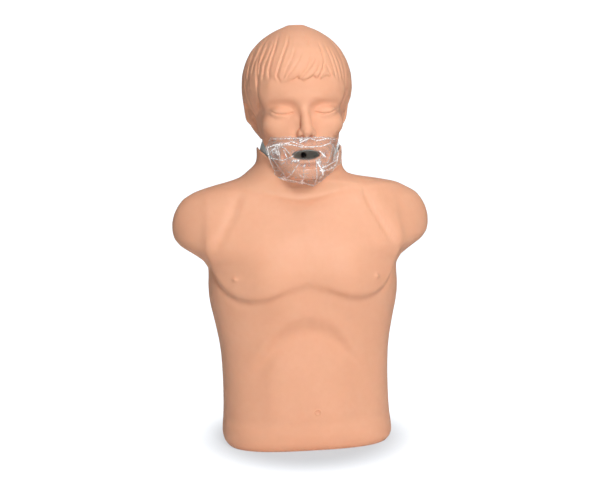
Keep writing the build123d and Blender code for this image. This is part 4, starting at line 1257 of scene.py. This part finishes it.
print("whiteness at the mouth's corner", film_relief(np.array([22.0]), np.array([491.0]))[1])

# %% [markdown]
# The film's mesh is rings around the mouth. They start deep in it, as the sleeve, come out over
# the lips and spread to the film's ragged outline. A flat grid would have to be trimmed and
# could not turn into the mouth.

# %% Film outline
PORT_X = 2.0
FILM_EDGE = [
    (-52.8, 514.6), (-35.2, 515.6), (-17.6, 515.1), (9.7, 515.0), (37.0, 513.4), (50.0, 510.5),
    (57.0, 507.3), (62.5, 496.8), (65.5, 483.9), (61.0, 468.0), (39.0, 449.5), (15.6, 432.6),
    (-3.6, 438.1), (-21.2, 441.1), (-33.2, 443.9), (-45.1, 447.6), (-51.0, 466.9), (-56.9, 481.4),
    (-61.3, 495.9),
]


def ray_to_edge(turn):
    """Distance from the mouth's centre to the film's outline in one direction."""
    direction = np.array((math.cos(turn), math.sin(turn)))
    best = 1e9
    for a, b in zip(FILM_EDGE, FILM_EDGE[1:] + FILM_EDGE[:1]):
        a = np.array(a) - (PORT_X, MOUTH_Z)
        run = np.array(b) - (PORT_X, MOUTH_Z) - a
        cross = direction[0] * run[1] - direction[1] * run[0]
        if abs(cross) < 1e-9:
            continue
        far = (a[0] * run[1] - a[1] * run[0]) / cross
        along = (a[0] * direction[1] - a[1] * direction[0]) / cross
        if far > 0 and -1e-9 <= along <= 1 + 1e-9:
            best = min(best, far)
    return best


print("film reaches", round(float(ray_to_edge(0.0)), 1), "mm to the right of the mouth")

# %% Film mesh
FILM_TURNS = 430
FILM_RINGS = 84
SLEEVE_RINGS = 14
SLEEVE_END = -74.0
PORT_HALF_WIDTH, PORT_HALF_HEIGHT = 21.6, 7.7


def film_points():
    """Rings of the film from inside the mouth to its outer edge, with the painted values."""
    turns = np.arange(FILM_TURNS) / FILM_TURNS * 2 * math.pi
    across, up = np.cos(turns) / PORT_HALF_WIDTH, np.sin(turns) / PORT_HALF_HEIGHT
    port = 1 / np.sqrt(across**2 + up**2)
    edge = np.array([ray_to_edge(t) for t in turns])
    edge += 0.5 * np.sin(17 * turns) + 0.35 * np.sin(41 * turns + 1)
    # rings from the mouth to the edge, laid on the drape and raised at the creases
    share = np.linspace(0, 1, FILM_RINGS)[:, None] ** 1.1
    radius = port + share * (edge - port)
    x = PORT_X + radius * np.cos(turns)
    z = MOUTH_Z + radius * np.sin(turns)
    i, k = (x - drape_x[0]) / DRAPE_STEP, (z - drape_z[0]) / DRAPE_STEP
    depth = between(drape_depth, i, k)
    height, white, bunched = film_relief(x, z)
    # the outer edge of the film is whitened: a painted highlight along its rim
    white = np.maximum(white, 0.55 * np.exp(-(((share - 1) * (edge - port) / 0.9) ** 2)))
    y = -(depth + 0.9 * height + 0.3)
    # the sleeve, rippled, with streaks painted mostly on its upper half: painted highlights, which
    # the finish also makes glow so that they show in the shade of the mouth
    sleeve = []
    for n in range(SLEEVE_RINGS):
        deep = (SLEEVE_RINGS - n) / SLEEVE_RINGS
        ripple = 1 - 0.05 * np.sin(9 * turns + 3 * deep) - 0.03 * np.sin(23 * turns) - 0.06 * deep
        ring_x = PORT_X * (1 - deep) + port * ripple * np.cos(turns)
        ring_z = MOUTH_Z + port * ripple * np.sin(turns)
        ring_y = y[0] * (1 - deep) + deep * SLEEVE_END
        sleeve.append(np.stack([ring_x, ring_y, ring_z], -1))
    points = np.concatenate([np.array(sleeve), np.stack([x, y, z], -1)])
    ring = np.arange(SLEEVE_RINGS)[:, None]
    upper = 0.35 + 0.65 * np.clip(np.sin(turns), 0, 1)
    streaks = 0.85 * upper * np.clip(np.sin(9 * turns + ring * 0.22), 0, 1) ** 4
    streaks += 0.6 * upper * np.clip(np.sin(21 * turns - ring * 0.4), 0, 1) ** 5
    return points, np.concatenate([streaks, white]), np.concatenate([streaks * 0, bunched])


points, white, bunched = film_points()
faces = ring_quads(len(points), FILM_TURNS)
film_piece = add_mesh("mouth_film", (points.reshape(-1, 3) / 1000).tolist(), faces)
for name, values in (("white_and_glint", white), ("bunch", bunched)):
    painted = film_piece.data.attributes.new(name, "FLOAT", "POINT")
    painted.data.foreach_set("value", values.ravel().astype(np.float32))
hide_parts("face_shield")
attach(film_piece, "head")

# %% [markdown]
# ## Finishes
# The skin is a matt vinyl, a warm peach all over, with no separate colour for the hair. Light
# goes a little way into it, so its shadows are redder than its lit side. A fine grain and very
# broad, faint unevenness keep it from looking like a computer's plastic.
# The helpers come first. Each one adds a single node and gives back its output.

# %% Shader helpers
def noise(nodes, links, where, scale, detail=4.0, roughness=0.55):
    """Cloudy noise at a place, 0 to 1."""
    texture = nodes.new("ShaderNodeTexNoise")
    texture.inputs["Scale"].default_value = scale
    texture.inputs["Detail"].default_value = detail
    texture.inputs["Roughness"].default_value = roughness
    links.new(where, texture.inputs["Vector"])
    return texture.outputs["Fac"]


def remap(nodes, links, value, low, high, new_low, new_high):
    """A value moved from one range to another."""
    node = nodes.new("ShaderNodeMapRange")
    for socket, number in zip(node.inputs[1:5], (low, high, new_low, new_high)):
        socket.default_value = number
    links.new(value, node.inputs["Value"])
    return node.outputs["Result"]


def blend_colour(nodes, links, factor, a, b):
    """A colour between a and b. Each is a plain colour or a socket."""
    node = nodes.new("ShaderNodeMix")
    node.data_type = "RGBA"
    links.new(factor, node.inputs["Factor"])
    for socket, colour in ((node.inputs["A"], a), (node.inputs["B"], b)):
        if isinstance(colour, tuple):
            socket.default_value = (*colour, 1)
        else:
            links.new(colour, socket)
    return node.outputs["Result"]


def bump_by(nodes, links, height, strength, distance, normal=None):
    """A normal tipped by a height. Distance is in metres."""
    node = nodes.new("ShaderNodeBump")
    node.inputs["Strength"].default_value = strength
    node.inputs["Distance"].default_value = distance
    links.new(height, node.inputs["Height"])
    if normal is not None:
        links.new(normal, node.inputs["Normal"])
    return node.outputs["Normal"]


def calculate(nodes, links, operation, a, b):
    """One step of sums on two values, kept between 0 and 1."""
    node = nodes.new("ShaderNodeMath")
    node.operation = operation
    node.use_clamp = True
    for socket, value in zip(node.inputs, (a, b)):
        if isinstance(value, float):
            socket.default_value = value
        else:
            links.new(value, socket)
    return node.outputs[0]


def finish_with(piece, material):
    """Gives a piece one material."""
    piece.data.materials.clear()
    piece.data.materials.append(material)


print("helpers ready")

# %% Skin vinyl
PEACH = (0.89, 0.455, 0.284)
PALE_PEACH = (0.93, 0.49, 0.314)
RUDDY = (0.86, 0.41, 0.245)

skin, nodes, links, shader = new_material("skin_vinyl_finish")
where = nodes.new("ShaderNodeTexCoord").outputs["Object"]
broad = noise(nodes, links, where, 14.0, 3.0)
mottle = noise(nodes, links, where, 90.0, 5.0)
grain = noise(nodes, links, where, 1500.0, 3.0)
pale = remap(nodes, links, broad, 0.3, 0.7, 0, 1)
ruddy = remap(nodes, links, mottle, 0.35, 0.7, 0, 0.25)
tone = blend_colour(nodes, links, pale, PEACH, PALE_PEACH)
tone = blend_colour(nodes, links, ruddy, tone, RUDDY)
links.new(tone, shader.inputs["Base Color"])
links.new(remap(nodes, links, mottle, 0.3, 0.7, 0.44, 0.54), shader.inputs["Roughness"])
shader.inputs["Specular IOR Level"].default_value = 0.24
shader.inputs["Subsurface Weight"].default_value = 0.14
shader.inputs["Subsurface Radius"].default_value = (1.0, 0.45, 0.25)
shader.inputs["Subsurface Scale"].default_value = 0.004
fine = bump_by(nodes, links, grain, 0.10, 0.0004)
links.new(bump_by(nodes, links, mottle, 0.12, 0.0012, fine), shader.inputs["Normal"])
finish_with(head_piece, skin)
finish_with(torso_piece, skin)
finish_with(collar_piece, skin)
print("skin on", head_piece.name, torso_piece.name, collar_piece.name)

# %% [markdown]
# The film is clear, and light passes straight through it, but its creases and crumples scatter
# light and read as white. Its opacity is therefore built from the painted values and a sharp
# noise, and it rises where the film is seen edge on. That white is partly the scattered light and
# partly painted glints and highlights, and the glints also glow a little, as painted light. The
# film's thin haze is grey: partly its own tint and partly painted shade on the chin under it. Real
# refraction would cost far more and show less: at this thickness only the glints matter.

# %% Film finish
# HAZE and the film's grey tint: the grey is partly the film's own tint and partly painted shade on
# the chin under it; the white is for the creases' scattered light and the painted glints
HAZE = 0.15
FILM_TINT_AND_SHADE, SCATTER_AND_GLINT_WHITE = (0.40, 0.37, 0.36), (1.0, 1.0, 1.0)

film_finish, nodes, links, shader = new_material("clear_film_finish")
where = nodes.new("ShaderNodeTexCoord").outputs["Object"]
# the painted whiteness from the points: partly light the creases scatter, partly painted glints
# and highlights
white_and_glint = nodes.new("ShaderNodeAttribute")
white_and_glint.attribute_name = "white_and_glint"
bunch = nodes.new("ShaderNodeAttribute")
bunch.attribute_name = "bunch"
# a sharp cell pattern that paints glints in the bunched patches of the film
sparkle = nodes.new("ShaderNodeTexVoronoi")
sparkle.feature = "DISTANCE_TO_EDGE"
sparkle.inputs["Scale"].default_value = 260.0
links.new(where, sparkle.inputs["Vector"])
line = remap(nodes, links, sparkle.outputs["Distance"], 0.02, 0.14, 1.0, 0.0)
patch = remap(nodes, links, noise(nodes, links, where, 260.0, 2.0), 0.50, 0.58, 0.0, 1.0)
sparkling = calculate(nodes, links, "ADD", patch, line)
crumpled_glints = calculate(nodes, links, "MULTIPLY", sparkling, bunch.outputs["Fac"])
edge_on = nodes.new("ShaderNodeLayerWeight")
edge_on.inputs["Blend"].default_value = 0.35
haze = calculate(nodes, links, "MULTIPLY", edge_on.outputs["Facing"], 0.30)
haze = calculate(nodes, links, "ADD", haze, HAZE)
# noise that breaks the painted whiteness into glints
glint = remap(nodes, links, noise(nodes, links, where, 420.0, 2.0), 0.38, 0.60, 0.30, 1.15)
glinting = calculate(nodes, links, "MULTIPLY", white_and_glint.outputs["Fac"], glint)
opacity = calculate(nodes, links, "ADD", haze, glinting)
bunch_glint_opacity = calculate(nodes, links, "MULTIPLY", crumpled_glints, 0.95)
opacity = calculate(nodes, links, "ADD", opacity, bunch_glint_opacity)
links.new(opacity, shader.inputs["Alpha"])
whiter = calculate(nodes, links, "ADD", glinting, crumpled_glints)
# the film's colour runs from its grey haze, which also paints shade on the chin, to white at the
# painted glints
film_tone = blend_colour(nodes, links, whiter, FILM_TINT_AND_SHADE, SCATTER_AND_GLINT_WHITE)
links.new(film_tone, shader.inputs["Base Color"])
# painted light: the glints also glow a little, though the film is no lamp
painted_glint_glow = calculate(nodes, links, "MULTIPLY", glinting, 0.5)
shader.inputs["Emission Color"].default_value = (1, 1, 1, 1)
links.new(painted_glint_glow, shader.inputs["Emission Strength"])
shader.inputs["Roughness"].default_value = 0.16
shader.inputs["Specular IOR Level"].default_value = 0.9
finish_with(film_piece, film_finish)
print("film finish on", film_piece.name)

# %% [markdown]
# ## Hidden parts
# The neck, the mouth lining and the mechanism keep their CAD shapes. Each gets a finish for what
# it is made of: moulded plastics with a fine grain and small mould marks, cut foam with open
# cells, powder-coated and plain steel. The neck and the mouth lining are painted lighter than
# their plastics, as painted light where they sit in shade: the neck inside the collar, the lining
# deep in the mouth. One noise group serves them all, because they differ only in colour, in the
# size of the grain and in how deep and dull it is.

# %% Grain group
def grain_group():
    """Noise at two sizes: a mask for colour and a height for bump."""
    group = bpy.data.node_groups.new("moulded_grain", "ShaderNodeTree")
    group.interface.new_socket("Scale", in_out="INPUT", socket_type="NodeSocketFloat")
    group.interface.new_socket("Mask", in_out="OUTPUT", socket_type="NodeSocketFloat")
    group.interface.new_socket("Height", in_out="OUTPUT", socket_type="NodeSocketFloat")
    nodes, links = group.nodes, group.links
    start = nodes.new("NodeGroupInput")
    end = nodes.new("NodeGroupOutput")
    where = nodes.new("ShaderNodeTexCoord").outputs["Object"]
    for factor, name in ((0.12, "Mask"), (1.0, "Height")):
        size = nodes.new("ShaderNodeMath")
        size.operation = "MULTIPLY"
        size.inputs[1].default_value = factor
        links.new(start.outputs["Scale"], size.inputs[0])
        texture = nodes.new("ShaderNodeTexNoise")
        texture.inputs["Detail"].default_value = 4.0
        links.new(where, texture.inputs["Vector"])
        links.new(size.outputs[0], texture.inputs["Scale"])
        links.new(texture.outputs["Fac"], end.inputs[name])
    return group


moulded_grain = grain_group()
print("group", moulded_grain.name)

# %% Finish for the CAD nodes
def part_finish(name, dark, light, scale, rough, depth, metal=0.0, level=0.4):
    """A finish whose tone and roughness follow the grain group."""
    material, nodes, links, shader = new_material(name)
    grain = nodes.new("ShaderNodeGroup")
    grain.node_tree = moulded_grain
    grain.inputs["Scale"].default_value = scale
    tone = remap(nodes, links, grain.outputs["Mask"], 0.35, 0.65, 0, 1)
    links.new(blend_colour(nodes, links, tone, dark, light), shader.inputs["Base Color"])
    links.new(
        remap(nodes, links, grain.outputs["Mask"], 0.3, 0.7, rough - 0.06, rough + 0.06),
        shader.inputs["Roughness"],
    )
    links.new(
        bump_by(nodes, links, grain.outputs["Height"], 0.25, depth), shader.inputs["Normal"]
    )
    shader.inputs["Metallic"].default_value = metal
    shader.inputs["Specular IOR Level"].default_value = level
    return material


# slot, name, darker tone, lighter tone, grain, roughness, bump in metres, metal, specular
PART_FINISHES = [
    # the neck's tone is partly its own pale blue-grey plastic and partly painted light, lightened
    # for the shade it lies in inside the collar
    ("neck_plastic", "neck_finish", (0.74, 0.90, 0.92), (0.80, 0.95, 0.97), 700, 0.42, 2e-4),
    # the lining's tone is partly its own teal-grey and partly painted light: its lighter end is
    # raised so that it shows in the shade of the mouth
    ("mouth_lining", "lining_finish", (0.30, 0.40, 0.41), (0.80, 0.92, 0.92), 160, 0.34, 8e-4),
    ("lung_film", "lung_finish", (0.70, 0.74, 0.76), (0.80, 0.83, 0.85), 260, 0.22, 6e-4),
    ("base_plastic", "base_finish", (0.055, 0.056, 0.06), (0.075, 0.077, 0.08), 900, 0.5, 2e-4),
    ("socket_plastic", "socket_finish", (0.50, 0.51, 0.52), (0.58, 0.59, 0.60), 800, 0.45, 2e-4),
    ("plate_plastic", "plate_finish", (0.62, 0.62, 0.58), (0.70, 0.70, 0.66), 800, 0.45, 2e-4),
    ("core_plastic", "core_finish", (0.66, 0.63, 0.56), (0.74, 0.71, 0.64), 500, 0.6, 3e-4),
    ("foam", "foam_finish", (0.52, 0.50, 0.44), (0.64, 0.62, 0.55), 900, 0.9, 1.2e-3, 0.0, 0.15),
    ("frame_steel", "frame_finish", (0.11, 0.12, 0.13), (0.15, 0.16, 0.17), 1300, 0.48, 2e-4),
    ("steel", "steel_finish", (0.52, 0.52, 0.53), (0.62, 0.62, 0.63), 1500, 0.3, 1e-4, 1.0),
]
FINISHES = {slot: part_finish(*values) for slot, *values in PART_FINISHES}
FINISHES["clear_film"] = film_finish
FINISHES["skin_vinyl"] = skin

shown = 0
for piece in bpy.data.objects:
    if piece.type != "MESH":
        continue
    for place in piece.material_slots:
        key = place.material.name.split(".")[0] if place.material else ""
        if key in FINISHES:
            place.material = FINISHES[key]
            shown += 1
print("CAD slots given a finish:", shown)
